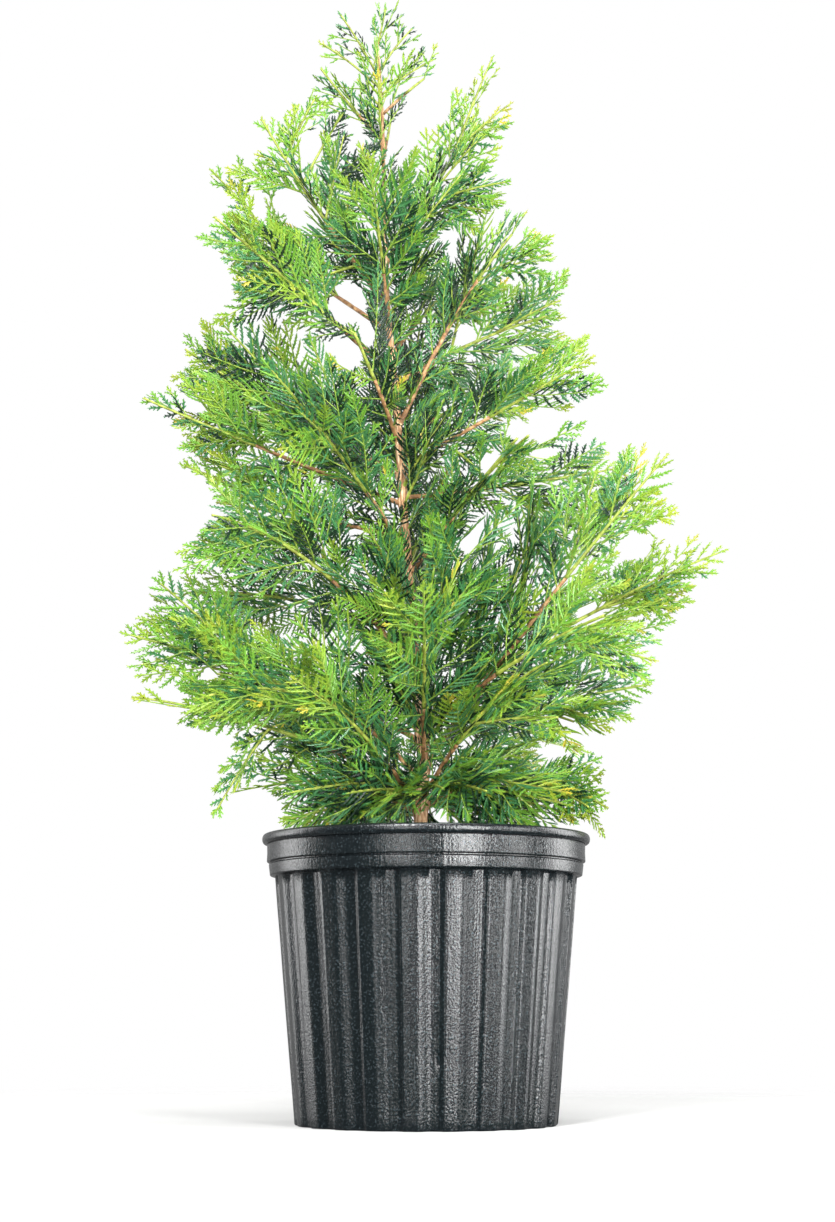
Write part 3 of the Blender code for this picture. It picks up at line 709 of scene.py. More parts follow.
# Limbs by height on the trunk, azimuth (0 right, 90 behind, 180 left, 270 front), reach, height
# of the tip, bow upwards, share that is bare, half width of the sprays and roll in degrees, and
# whether the bare share is a bough; lengths in mm.
limbTable = {
    "crown_left": (869, 186, 72, 956, -6, 0.10, 42, 78, False),
    "crown_right": (893, 350, 70, 944, 10, 0.10, 38, 80, False),
    "crown_front": (840, 266, 60, 912, 4, 0.12, 36, 24, False),
    "crown_back": (852, 84, 74, 930, 4, 0.12, 38, 30, False),
    "upper_left": (716, 199, 130, 893, -20, 0.40, 60, 72, True),
    "left_shoulder": (690, 152, 186, 838, -6, 0.26, 60, 64, False),
    "left_high": (648, 212, 216, 782, 4, 0.30, 64, 60, False),
    "upper_right": (752, 14, 110, 946, -6, 0.40, 50, 74, True),
    "right_fork": (600, 340, 142, 798, 50, 0.50, 60, 66, True),
    "right_high": (640, 30, 194, 742, 18, 0.28, 60, 68, False),
    "front_high": (690, 262, 124, 808, 14, 0.18, 58, 20, False),
    "front_high_left": (585, 242, 164, 722, 14, 0.24, 62, 38, False),
    "back_high_left": (704, 118, 146, 842, 10, 0.20, 60, 40, False),
    "back_high_right": (668, 62, 168, 800, 12, 0.22, 62, 48, False),
    "left_mid": (558, 166, 214, 670, 0, 0.36, 66, 60, True),
    "left_long": (531, 190, 260, 629, -8, 0.48, 60, 56, True),
    "left_level": (501, 182, 183, 534, 2, 0.36, 58, 64, True),
    "front_left_rise": (380, 212, 256, 495, 80, 0.32, 66, 50, True),
    "right_mid": (564, 334, 202, 650, 2, 0.40, 60, 68, True),
    "right_level": (537, 16, 213, 580, -4, 0.40, 50, 60, True),
    "rear_stem": (520, 82, 110, 735, 10, 0.32, 64, 35, True),
    "back_mid_left": (552, 126, 204, 668, 10, 0.32, 68, 52, True),
    "back_mid_right": (588, 46, 190, 690, 12, 0.26, 66, 58, False),
    "front_mid_left": (486, 228, 180, 624, 12, 0.28, 64, 34, False),
    "front_mid_right": (466, 314, 186, 600, 12, 0.28, 64, 42, False),
    "lower_right": (298, 342, 236, 578, 12, 0.52, 66, 64, True),
    "right_far": (340, 10, 262, 488, 26, 0.38, 64, 58, False),
    "right_wide": (330, 322, 262, 424, 36, 0.38, 62, 46, False),
    "right_low": (318, 358, 206, 372, 16, 0.36, 58, 60, False),
    "right_skirt": (264, 20, 188, 272, 52, 0.34, 44, 54, False),
    "left_low": (286, 214, 240, 332, 86, 0.32, 60, 48, True),
    "left_wide": (322, 172, 257, 400, 30, 0.40, 64, 62, True),
    "left_wide_low": (276, 194, 276, 354, 34, 0.36, 44, 58, False),
    "left_upper_low": (412, 152, 256, 474, 30, 0.34, 64, 52, False),
    "left_skirt": (258, 178, 184, 262, 56, 0.34, 52, 50, False),
    "front_low_left": (262, 240, 206, 352, 36, 0.28, 62, 30, False),
    "front_low": (292, 270, 220, 420, 28, 0.30, 66, 26, False),
    "front_low_right": (270, 300, 214, 366, 34, 0.30, 62, 36, False),
    "front_centre": (366, 286, 184, 500, 22, 0.26, 64, 22, False),
    "back_low_left": (274, 134, 236, 372, 36, 0.32, 66, 46, False),
    "back_low": (312, 98, 240, 446, 26, 0.34, 68, 40, False),
    "back_low_right": (268, 54, 236, 360, 36, 0.32, 66, 50, False),
}

limbShape = {
    "thinnest": 1.1 * mm,
    "taper": 0.0046,  # radius that each metre of limb adds at its foot
    "sway": 0.06,
    "leaderTip": (-0.036, 0.004, 1.000),
    "leaderSpread": 0.044,
    "leaderRoll": 82,
    "leaderBrown": 0.1,
    "sides": 10,
    "ringSpacing": 3.6 * mm,
    "fewestRings": 4,
    "tipRadius": 0.7 * mm,
    "bumps": (8 * mm, 6),  # length of the bark's bumps, and how many go round
    "relief": 0.22,  # of the radius
    "brownShare": 0.30,  # of a limb without a bare bough that is already brown
    "brownPastBough": 1.05,
    "furthest": 0.93,  # the end frond's own stem goes on from here
    "shortestRun": 0.02,
    "branchletLift": 0.006,
    "branchletBare": 0.14,
    "grace": 4 * mm,  # how far past the outline a frond may end
}

# Smaller branches that fill the crown: what they leave, the share of it (or the height on the
# trunk in metres), then in mm their tip and the half width of their sprays, and the roll.
branchletTable = {
    "leader_left": ("trunk", 0.926, (-80, -4, 992), 30, 72),
    "leader_left_mid": ("trunk", 0.918, (-98, 4, 966), 22, 74),
    "leader_right": ("trunk", 0.912, (10, 0, 948), 28, 76),
    "leader_right_up": ("trunk", 0.936, (-10, -6, 976), 22, 76),
    "leader_front": ("trunk", 0.900, (-46, -26, 956), 30, 78),
    "crown_left_fan": ("upper_left", 0.62, (-72, -10, 894), 28, 74),
    "leader_left_low": ("trunk", 0.900, (-106, -4, 957), 28, 74),
    "crown_left_in": ("upper_left", 0.45, (-72, -20, 870), 50, 70),
    "stem_left_high": ("trunk", 0.800, (-60, -40, 852), 36, 66),
    "left_shoulder_up": ("left_shoulder", 0.55, (-196, 10, 846), 46, 66),
    "right_tip_low": ("upper_right", 0.60, (80, 0, 906), 26, 74),
    "left_of_stem": ("left_mid", 0.20, (-102, -60, 668), 44, 60),
    "left_level_tip": ("left_level", 0.60, (-218, 0, 568), 40, 62),
    "stem_left_low": ("trunk", 0.440, (-54, -70, 500), 42, 56),
    "back_fill_high": ("rear_stem", 0.45, (-10, 150, 700), 50, 44),
    "back_fill_level": ("trunk", 0.450, (-36, 160, 548), 60, 42),
    "back_fill_rise": ("trunk", 0.475, (30, 140, 606), 56, 44),
    "back_fill_up": ("rear_stem", 0.20, (-20, 176, 640), 52, 40),
    "back_fill_mid": ("back_low", 0.50, (20, 205, 560), 58, 46),
    "back_fill_left": ("back_mid_left", 0.50, (-110, 160, 600), 56, 50),
    "front_fill_right": ("front_mid_right", 0.40, (90, -150, 560), 54, 40),
    "front_fill_left": ("front_mid_left", 0.45, (-105, -150, 575), 54, 36),
    "crown_left_up": ("upper_left", 0.74, (-98, -10, 908), 24, 74),
    "right_upper_low": ("upper_right", 0.32, (76, -30, 818), 46, 62),
    "right_tip_top": ("upper_right", 0.58, (64, 0, 956), 22, 76),
    "right_upper_fill": ("upper_right", 0.30, (50, -30, 860), 44, 68),
    "stem_right_fill": ("trunk", 0.700, (12, -50, 768), 42, 60),
    "stem_right_mid": ("trunk", 0.545, (22, -60, 602), 42, 56),
    "stem_right_near": ("trunk", 0.528, (14, -50, 588), 36, 50),
    "right_hollow_near": ("lower_right", 0.14, (64, -70, 524), 44, 56),
    "right_mid_high": ("right_mid", 0.42, (100, -60, 642), 46, 60),
    "right_hollow_low": ("lower_right", 0.20, (86, -50, 484), 50, 58),
    "right_low_out": ("front_low_right", 0.42, (124, -120, 326), 52, 50),
    "left_notch_high": ("left_high", 0.42, (-182, -60, 704), 50, 62),
    "left_notch_in": ("upper_left", 0.22, (-140, -40, 702), 50, 62),
    "left_notch_up": ("left_high", 0.50, (-168, -40, 740), 40, 64),
    "left_notch_low": ("left_mid", 0.50, (-238, 10, 690), 50, 64),
    "left_notch_mid": ("left_mid", 0.34, (-185, 0, 700), 52, 60),
    "right_of_stem_high": ("trunk", 0.742, (36, -40, 826), 50, 66),
    "right_of_stem_low": ("upper_right", 0.30, (58, -30, 790), 50, 62),
    "right_of_stem_mid": ("right_high", 0.30, (50, -50, 770), 50, 60),
    "right_of_stem_deep": ("right_mid", 0.20, (46, -60, 545), 50, 52),
    "right_of_stem_top": ("upper_right", 0.52, (30, 20, 872), 42, 66),
    "right_tip_high": ("right_fork", 0.52, (116, -30, 752), 48, 64),
    "right_tip_mid": ("right_high", 0.55, (146, 40, 740), 48, 64),
    "right_hollow_mid": ("trunk", 0.455, (62, -40, 514), 50, 56),
    "right_hollow_up": ("lower_right", 0.36, (92, -60, 545), 54, 60),
    "right_hollow_down": ("right_level", 0.42, (128, 0, 492), 54, 58),
    "right_hollow_out": ("lower_right", 0.55, (150, -10, 560), 52, 62),
    "right_notch": ("lower_right", 0.72, (216, -20, 512), 34, 60),
    "right_far_high": ("right_far", 0.58, (264, -5, 490), 44, 64),
    "right_far_low": ("right_far", 0.62, (232, 10, 456), 36, 60),
    "right_low_fill": ("right_wide", 0.50, (196, -90, 376), 50, 56),
    "right_low_fill_in": ("right_low", 0.45, (152, -60, 318), 50, 56),
    "right_low_gap": ("right_low", 0.50, (138, -70, 332), 50, 56),
    "right_droop": ("right_skirt", 0.55, (160, -60, 254), 42, 60),
    "left_droop": ("left_wide_low", 0.48, (-178, -50, 252), 46, 62),
    "right_hem": ("right_skirt", 0.50, (140, -50, 258), 36, 52),
    "left_tip_up": ("left_wide", 0.55, (-236, -20, 462), 52, 60),
    "left_tip_mid": ("left_wide", 0.50, (-262, -30, 412), 52, 60),
    "left_tip_low": ("left_wide", 0.45, (-234, -50, 378), 48, 58),
    "left_mid_fill": ("left_level", 0.40, (-120, -50, 470), 52, 52),
    "front_stem_left": ("trunk", 0.392, (-60, -90, 470), 54, 40),
    "front_stem_right": ("trunk", 0.372, (52, -85, 455), 54, 40),
    "front_foot_left": ("trunk", 0.330, (-50, -85, 405), 54, 46),
    "front_foot_right": ("trunk", 0.316, (58, -80, 385), 54, 46),
    "left_centre_low": ("left_low", 0.30, (-110, -70, 420), 56, 54),
    "left_centre_mid": ("front_left_rise", 0.30, (-120, -80, 520), 56, 54),
}

# low sprays all round, from the trunk's foot out over the rim
skirt = {
    "sprays": 17,
    "from": (258, 292),  # mm up the trunk
    "reach": (110, 168),  # mm from the trunk
    "tip": (250, 272),  # mm
    "spread": 46 * mm,
    "rolls": (35, 80),
    "lift": 8 * mm,
    "foot": 1.4 * mm,
    "bare": 0.20,
    "scatter": 0.3,  # of the room between two
    "seed": 5,
}


def trunkAt(height):
    # centre and radius at a height, on the smooth line through the points
    line = trunkLine
    last = len(line) - 2
    i = int(np.clip(np.searchsorted(line[:, 0], height, "right") - 1, 0, last))
    a, b, c, d = line[max(i - 1, 0)], line[i], line[i + 1], line[min(i + 2, last + 1)]
    span = c[0] - b[0]
    t = (height - b[0]) / span
    slopeB = (c - a) / (c[0] - a[0]) * span
    slopeC = (d - b) / (d[0] - b[0]) * span
    found = b + (c - b) * t * t * (3 - 2 * t) + slopeB * t * (1 - t) ** 2 - slopeC * t * t * (1 - t)
    return np.array([found[1], found[2], height]), found[3]


# the crown's two sides as they are seen from the front: height, left and right, in mm
crownOutline = np.array([
    (245, -190, 164), (262, -187, 152), (280, -183, 152), (296, -176, 150), (312, -168, 152),
    (326, -168, 160), (332, -207, 170), (344, -206, 180), (351, -209, 190), (358, -268, 186),
    (385, -254, 200),
    (400, -264, 204), (420, -264, 208), (435, -244, 224), (455, -242, 246), (470, -242, 252),
    (490, -228, 262), (505, -196, 246), (520, -192, 224), (540, -184, 216), (557, -191, 208),
    (572, -228, 218), (585, -222, 204), (597, -218, 142), (610, -224, 140), (625, -272, 148),
    (642, -238, 160), (657, -209, 166), (670, -212, 158), (683, -220, 152), (697, -208, 128),
    (712, -176, 114), (725, -172, 124), (738, -170, 144), (748, -176, 144), (760, -182, 112),
    (772, -206, 118), (785, -216, 112), (798, -192, 94), (810, -166, 78), (822, -180, 84),
    (835, -204, 68), (848, -188, 58), (856, -166, 62), (862, -138, 66), (872, -136, 70),
    (885, -156, 80), (898, -140, 80), (910, -104, 80), (925, -102, 82), (938, -100, 74), (950, -94, 66),
    (958, -110, 56), (965, -106, 10), (975, -88, 2), (985, -82, -20), (1004, -90, -24)]) * mm

# sky that shows through it: right of the axis, height, half width and half height, in mm
skyHoles = np.array([
    (-150, 262, 22, 18), (-103, 862, 9, 14), (-71, 716, 16, 18), (184, 494, 14, 11),
    (-122, 810, 14, 11), (-69, 669, 11, 14), (-52, 686, 6, 10), (104, 603, 12, 15),
    (-190, 381, 8, 5), (-222, 362, 9, 5), (86, 671, 8, 5), (-18, 879, 12, 14), (-149, 807, 5, 10),
    (144, 434, 11, 10), (37, 685, 9, 10), (82, 599, 9, 7), (22, 838, 5, 8), (205, 509, 8, 5),
    (37, 495, 7, 6), (122, 339, 7, 5), (57, 568, 9, 9), (102, 576, 8, 6), (110, 314, 9, 5),
    (81, 777, 7, 7), (55, 899, 6, 10), (-203, 620, 8, 5), (4, 908, 20, 24), (-72, 936, 11, 11),
    (-58, 992, 9, 18)]) * mm

# where foliage may be besides: before the crown's back, over the mix, the rim and the ground
crown = {
    "back": 0.250,
    "innerRim": pot["lowerBandRadius"] - 7 * mm,
    "outerRim": pot["lipRadius"] + 5 * mm,
    "overMix": mix["top"] + 5 * mm,
    "overRim": pot["height"] + 4 * mm,
    "lowest": 0.18,
}


def inCrown(points, grace):
    # inside the outline that the front view has, out of its sky, and clear of the pot
    eye = np.array(cameraPlace["location"])
    seen = eye + (points - eye) * (-eye[1] / (points[..., 1:2] - eye[1]))
    x, z = seen[..., 0], seen[..., 2]
    left = np.interp(z, crownOutline[:, 0], crownOutline[:, 1]) - grace
    right = np.interp(z, crownOutline[:, 0], crownOutline[:, 2]) + grace
    inside = (x > left) & (x < right) & (z < crownOutline[-1, 0] + grace)
    for middle, height, wide, tall in skyHoles:
        inside &= ((x - middle) / wide) ** 2 + ((z - height) / tall) ** 2 > 1
    away = np.hypot(points[..., 0], points[..., 1])
    lowest = np.where(away < crown["outerRim"], crown["overRim"], crown["lowest"])
    lowest = np.where(away < crown["innerRim"], crown["overMix"], lowest)
    return inside & (points[..., 2] > lowest) & (points[..., 1] < crown["back"])


class Limb:
    # a bent line from the trunk's centre to the limb's tip
    def __init__(self, name, start, tip, lift, sway, foot, bare, spread, roll, bough=False):
        self.name = self.node = name
        self.start, self.tip = start, tip
        flat = np.array([tip[0] - start[0], tip[1] - start[1], 0])
        side = np.cross(flat, [0, 0, 1])
        self.bend = (start + tip) / 2 + np.array([0, 0, lift]) + side * sway
        self.foot, self.bare, self.spread, self.roll, self.bough = foot, bare, spread, roll, bough
        self.brown = bare * limbShape["brownPastBough"] if bough else limbShape["brownShare"]
        self.length = np.linalg.norm(tip - start)
        self.rng = seeded(name + "_sprays")

    def at(self, t):
        t = np.asarray(t, float)[..., None]
        return self.start * (1 - t) ** 2 + self.bend * 2 * t * (1 - t) + self.tip * t * t

    def heading(self, t):
        t = np.asarray(t, float)[..., None]
        return unit((self.bend - self.start) * (1 - t) + (self.tip - self.bend) * t)

    def radius(self, t):
        return self.foot + (limbShape["thinnest"] - self.foot) * np.asarray(t, float)


def level(turn):
    return np.array([math.cos(turn), math.sin(turn), 0])


def footFor(start, tip, share=1):
    # a limb's radius at its foot grows with its length
    return limbShape["thinnest"] + limbShape["taper"] * np.linalg.norm(tip - start) / share


def makeLimbs():
    limbs = []
    for name, (height, azimuth, reach, top, lift, bare, spread, roll, bough) in limbTable.items():
        start, _ = trunkAt(height / 1000)
        tip = start + reach / 1000 * level(math.radians(azimuth))
        tip[2] = top / 1000
        sway = random.Random(name).uniform(-limbShape["sway"], limbShape["sway"])
        limbs.append(Limb(name, start, tip, lift / 1000, sway, footFor(start, tip),
                          bare, spread / 1000, roll, bough))
    start, radius = trunkAt(trunkLine[-1, 0])
    leader = Limb("leader", start, np.array(limbShape["leaderTip"]), 0, 0, radius, 0.0,
                  limbShape["leaderSpread"], limbShape["leaderRoll"])
    leader.brown = limbShape["leaderBrown"]
    return limbs + [leader]


def makeBranchlets(limbs):
    named = {limb.name: limb for limb in limbs}
    found = []
    for name, (parent, place, tip, spread, roll) in branchletTable.items():
        start = trunkAt(place)[0] if parent == "trunk" else named[parent].at(place)
        tip = np.array(tip) / 1000
        branch = Limb(name, start, tip, limbShape["branchletLift"], 0, footFor(start, tip, 2),
                      limbShape["branchletBare"], spread / 1000, roll)
        branch.node = "leader" if parent == "trunk" else parent
        found.append(branch)
    rng = np.random.default_rng(skirt["seed"])
    for k in range(skirt["sprays"]):
        turn = 2 * math.pi * (k + rng.uniform(-skirt["scatter"], skirt["scatter"])) / skirt["sprays"]
        start = trunkAt(rng.uniform(*skirt["from"]) * mm)[0]
        tip = start + rng.uniform(*skirt["reach"]) * mm * level(turn)
        tip[2] = rng.uniform(*skirt["tip"]) * mm
        branch = Limb(f"skirt_{k}", start, tip, skirt["lift"], 0, skirt["foot"], skirt["bare"],
                      skirt["spread"], rng.uniform(*skirt["rolls"]))
        branch.node = "leader"
        found.append(branch)
    for branch in found:
        branch.brown = 0
    return found


def fibrousBark():
    # Thuja bark on a young stem: thin, soft, peeling in upright strips, orange-brown with pale
    # pinkish edges where a strip has lifted and dark between the strips.
    fibre = 1.6  # mm wide
    drawnOut = 0.12  # upwards
    material, tree, shader, place = newMaterial(
        "peeling_fibrous_bark", Roughness=0.82, Specular_IOR_Level=0.3)
    drawn = addNode(tree, "ShaderNodeMapping", inputs={"Vector": place, "Scale": (1, 1, drawnOut)})
    strips = addNoise(tree, drawn.outputs[0], 1000.0 / fibre, 4.0, 0.65)
    colours = [(0.30, "#463122"), (0.42, "#836044"), (0.54, "#ae8b67"), (0.68, "#dac3a3")]
    connect(tree, shader, Base_Color=addRamp(tree, strips, colours),
            Normal=addBump(tree, strips, 0.7, 0.5 * mm))
    return material


def youngBark(name, colours):
    # Bark of this year's limbs: smooth and waxy, ochre to yellow-green with brown flecks.
    fleck = 5.0  # mm
    material, tree, shader, place = newMaterial(name, Roughness=0.55, Specular_IOR_Level=0.4)
    flecks = addNoise(tree, place, 1000.0 / fleck, 3.0)
    connect(tree, shader, Base_Color=addRamp(tree, flecks, colours),
            Normal=addBump(tree, flecks, 0.4, 0.3 * mm))
    return material


def makeTrunk(limbs):
    low, high = trunkLine[0, 0], trunkLine[-1, 0]
    heights = np.linspace(low, high, int((high - low) / trunk["ringSpacing"]))
    found = [trunkAt(h) for h in heights]
    centres = np.array([centre for centre, _ in found])
    radius = np.array([r for _, r in found])
    headings = unit(np.gradient(centres, axis=0))
    angle = ringAngles(trunk["sides"])
    rng = np.random.default_rng(trunk["seed"])
    along = (heights - low)[:, None]
    around = angle[None] / (2 * math.pi) + trunk["twist"] * along
    strip = roundNoise(along, around, trunk["stripLength"], trunk["strips"], high - low, rng)
    fine = roundNoise(along, around, trunk["fineLength"], 2 * trunk["strips"], high - low, rng)
    relief = np.abs(2 * strip - 1) - 0.5 + 0.5 * (fine - 0.5)
    radii = radius[:, None] * (1 + trunk["relief"] * relief)
    for limb in limbs[:-1]:
        turn = math.atan2(limb.tip[1] - limb.start[1], limb.tip[0] - limb.start[0])
        above = heights - limb.start[2] - trunk["collarAbove"]
        near = np.exp(-(above / trunk["collarHeight"]) ** 2)[:, None]
        facing = np.clip(np.cos(angle - turn), 0, 1) ** 2
        radii = radii + near * facing * trunk["collar"] * limb.foot
    # root flare: low ribs that run out into the mix
    flare = np.clip(1 - along / trunk["flareHeight"], 0, 1) ** 2
    radii = radii * (1 + trunk["flare"] * flare * np.cos(trunk["flareRibs"] * angle + 0.6))
    centres[0, 2] -= trunk["below"]
    heap = Heap()
    addTube(heap, centres, headings, np.array([1.0, 0, 0]), radii)
    makePiece("trunk_bark", heap.points, heap.faces, fibrousBark(), ["trunk"], True)
    print("trunk:", heap.triangles, "triangles")


def makeBoughs(limbs, branchlets, leafy):
    # every limb as far as its foliage goes, brown near the trunk and green beyond
    brown, green = Heap(), Heap()
    angle = ringAngles(limbShape["sides"])
    for limb in limbs + branchlets:
        end = min(leafy[limb.name], limbShape["furthest"])
        for heap, first, last in ((brown, 0.0, min(limb.brown, end)), (green, limb.brown, end)):
            if last - first < limbShape["shortestRun"]:
                continue
            rows = int((last - first) * limb.length / limbShape["ringSpacing"])
            t = np.linspace(first, last, max(rows, limbShape["fewestRings"]))
            radius = np.minimum(limb.radius(t), limb.foot)
            radius = radius + (limbShape["tipRadius"] - limbShape["thinnest"]) * t
            relief = roundNoise((t * limb.length)[:, None], angle[None] / (2 * math.pi),
                                *limbShape["bumps"], limb.length, seeded(limb.name + "_bark"))
            radii = radius[:, None] * (1 + limbShape["relief"] * (relief - 0.5))
            addTube(heap, limb.at(t), limb.heading(t), np.array([0.01, 0.02, 1.0]), radii)
    bark = youngBark("ochre_limb_bark", [(0.3, "#553c28"), (0.5, "#8d6844"), (0.7, "#b99669")])
    makePiece("bough_bark", brown.points, brown.faces, bark,
              [limb.name + "_bough" for limb in limbs if limb.bough], True)
    shoot = youngBark("green_limb_bark", [(0.3, "#6a6a2a"), (0.5, "#7f8f38"), (0.7, "#a0a84c")])
    makePiece("young_limbs", green.points, green.faces, shoot,
              [limb.name + "_sprays" for limb in limbs], True)
    print("limbs:", brown.triangles + green.triangles, "triangles")


limbs = makeLimbs()
branchlets = makeBranchlets(limbs)
makeTrunk(limbs)


# Sprays: flat fronds, their side shoots, and the scale-clad teeth on those

spray = {
    "plateSpacing": 7.5 * mm,  # fronds in a limb's plate, left and right in turn
    "crossSpacing": 15 * mm,  # fronds that leave the plate
    "crossLength": 0.80,
    "crossRoll": (45, 135),  # degrees out of the plate
    "frondShare": 0.56,  # of a limb's leafy run has fronds of its own
    "fewestFronds": 3,
    "placeScatter": 0.3,  # of the room between two
    "innerSpacing": 4.5 * mm,  # fronds all round the bare foot of a limb
    "innerLength": (26 * mm, 74 * mm),  # near the trunk and further out
    "innerFullest": (0.6, 1.05),
    "innerFrom": 12 * mm,
    "innerLean": (30, 62),
    "innerDroop": 0.08,
    "lean": (28, 48),  # degrees from the limb
    "rollScatter": 22,
    "frontRollScatter": 42,  # limbs that point at the viewer show more of their faces
    "frontward": -0.55,  # heading from which they do
    "fullest": (0.66, 1.02),
    "taperToTip": 0.30,
    "shortest": 22 * mm,
    "overshoot": 3 * mm,
    "forwardSweep": 0.20,
    "droop": 0.06,
    "endShare": 0.42,  # the end frond takes over from here
    "endSides": 1.25,  # its side shoots are this much longer
    "cuts": (0.15, 0.3, 0.45, 0.6, 0.75, 0.9, 1.0),  # shares at which a frond may be cut back
    "stub": 15 * mm,  # and what is too short to stay
    "subFrondSpacing": 26 * mm,
    "subFrondRun": (0.10, 0.66),
    "subFrondShare": 0.46,
    "subFrondTaper": 0.6,
    "subFrondLean": (34, 48),
    "subFrondParent": 66 * mm,
    "stemRadius": (0.85 * mm, 0.5 * mm),
    "stemRings": 11 * mm,
    "stemFullFrom": 70 * mm,  # stems of shorter fronds are thinner, down to
    "stemThinnest": 0.6,
    "barest": 0.12,  # a frond whose side shoots don't reach this share has no stem
    "pieceTriangles": 180000,
}

# side shoots, which are wide apart and toothed, or fine and close as in a comb
twig = {
    "share": 0.38,  # length of a side shoot, of its frond
    "longest": (11 * mm, 28 * mm),  # on a short frond and on a long one
    "shortest": 8 * mm,
    "featherSpacing": 4.9 * mm,
    "airiness": 0.45,  # they are this much further apart at the crown's surface
    "airyFrom": (0.65, 1.0),  # outwardness where that begins, and where it is full
    "combSpacing": 2.9 * mm,
    "youngFrom": (0.78, 0.90),  # height from which the crown is young, open and long-toothed
    "youngOpen": 0.45,
    "from": 4 * mm,
    "to": 0.90,
    "fullestAt": 0.30,  # of the frond
    "atFoot": 0.6,  # length there, of the fullest
    "taper": 0.72,
    "lean": (54, 36),  # degrees, at the foot and at the tip
    "sweep": 0.24,
    "endShare": 0.30,
    "endLongest": 13 * mm,
    "combShorter": 0.12,
    "combUpright": 0.10,
    "combTo": 0.75,
    "cuts": (0.4, 0.6, 0.8, 1.0),
    "stub": 5 * mm,
    "axisWidth": 1.9 * mm,
    "axisThick": 1.0 * mm,
    "axisFullFrom": 12 * mm,  # axes of shorter shoots are slimmer
    "long": 10 * mm,  # longer ones have a ring more
}

# teeth stand left and right in turn; each pair is for the inner crown and for its surface
tooth = {
    "spacing": (1.7 * mm, 2.0 * mm),
    "longest": (2.4 * mm, 4.4 * mm),
    "outer": (0.42, 0.80),  # outwardness of the inner crown and of the surface
    "bluntFrom": 0.35,
    "young": 0.28,  # longer and further apart by this in the young crown
    "run": (0.06, 0.92),
    "share": 0.34,  # of its side shoot at most
    "rear": 0.80,  # teeth on the side away from the frond's tip are shorter
    "shortest": 1.7 * mm,
    "lean": 40,
    "width": 1.6 * mm,
    "fullFrom": 3.2 * mm,  # shorter ones are narrower
    "tip": 0.55,
    "pointedFoot": 1.2,
}

# sprays that leave the trunk itself, between the limbs
trunkSprays = {
    "spacing": 5.4 * mm,
    "length": (30 * mm, 74 * mm),
    "from": 262 * mm,
    "to": 850 * mm,
    "turn": 137.5,  # degrees round the trunk from one to the next
    "turnScatter": 20,
    "frontGap": 34,  # degrees to each side of the front that stay clear of them
    "pushedBy": 12,  # degrees past the gap where those from inside it go
    "rise": (24, 58),
    "roll": (40, 90),
    "droop": 0.10,
    "seed": 11,
}

# height and how far the crown reaches from the trunk there
crownReach = np.array([(0.24, 0.20), (0.36, 0.27), (0.50, 0.25), (0.63, 0.25),
                       (0.78, 0.20), (0.90, 0.12), (1.00, 0.05)])

# base colours, from the oldest sprays deep in the crown, which are also darkened as painted shade, to this
# year's tips
tints = {
    # the darkest tint: old inner foliage, darkened further as painted shade
    "deep": "#122a1a",
    "blue": "#396d3f",
    "middle": "#608e30",
    "fresh": "#75932c",
    "bright": "#85952d",
    "tip": "#909238",
    "golden": "#aaa035",
}
tintNames = list(tints)
youngest = tintNames.index("tip")

# age and painted shade count tints, from 0 deep in the crown, painted dark as shade there, to the youngest
# at its tips
ageAndShadeWeights = {
    # inner sprays get darker tints: older foliage, and painted shade inside the crown
    "outward": 2.75,
    "power": 1.2,
    "young": 0.4,
    "frondScatter": 0.80,
    "forkScatter": 0.3,
    "shootScatter": 0.36,
    "toothTip": 0.9,
    "tooth": -0.15,
    "goldenTone": 1.4,  # of the palest fronds, some outer shoots are golden
    "goldenFrom": 0.6,
    "goldenChance": 0.5,
}


def scaleLeaf(name, colour):
    # Scale leaves pressed to the twiglets: waxy, half gloss, overlapping like tiles. One plain
    # colour to each material, as the sprays are dealt out by age and by painted shade inside the crown.
    tile = 1.4  # mm
    material, tree, shader, place = newMaterial(
        "thuja_scale_leaf_" + name, Base_Color=linear(colour), Roughness=0.36, IOR=1.50)
    connect(tree, shader, Normal=addBump(tree, addCells(tree, place, 1000.0 / tile), 0.35, 0.3 * mm))
    return material


def trimmed(shoots, shares, shortest, grace):
    # shoots cut back to the last share at which they are still inside, without the stubs
    kept = np.zeros(len(shoots["length"]))
    alive = np.ones(len(kept), bool)
    for share in shares:
        at = pointOn(shoots, np.arange(len(kept)), np.full(len(kept), share))
        alive &= inCrown(at, grace)
        kept = np.where(alive, share, kept)
    length = shoots["length"] * kept
    # the place on the limb that the cut shoot still reaches
    placeEnd = shoots["place"] + (shoots["placeEnd"] - shoots["place"]) * kept
    shoots = dict(shoots, length=length, bend=shoots["bend"] * kept[:, None], placeEnd=placeEnd)
    return pick(shoots, length >= shortest)


def pointOn(shoots, which, share):
    share = share[:, None]
    return shoots["origin"][which] + shoots["length"][which][:, None] * (
        share * shoots["along"][which] + share ** 2 * shoots["bend"][which])


def headingOn(shoots, which, share):
    return unit(shoots["along"][which] + 2 * share[:, None] * shoots["bend"][which])


def pick(shoots, chosen):
    return {key: value[chosen] for key, value in shoots.items()}


def joined(parts):
    return {key: np.concatenate([part[key] for part in parts]) for key in parts[0]}


def newShoots(origin, along, normal, length, bend, parentHeading, place, placeEnd, isEnd=0.0):
    # shoots in columns: where and which way they start, the way their flat side faces, and the
    # shares of the limb at which they start and end
    return {"origin": origin, "along": along, "normal": normal, "length": length, "bend": bend,
            "parentHeading": parentHeading, "place": place, "placeEnd": placeEnd,
            "isEnd": np.full(len(length), isEnd)}


def leftRight(order):
    return np.where(order % 2, 1.0, -1.0)


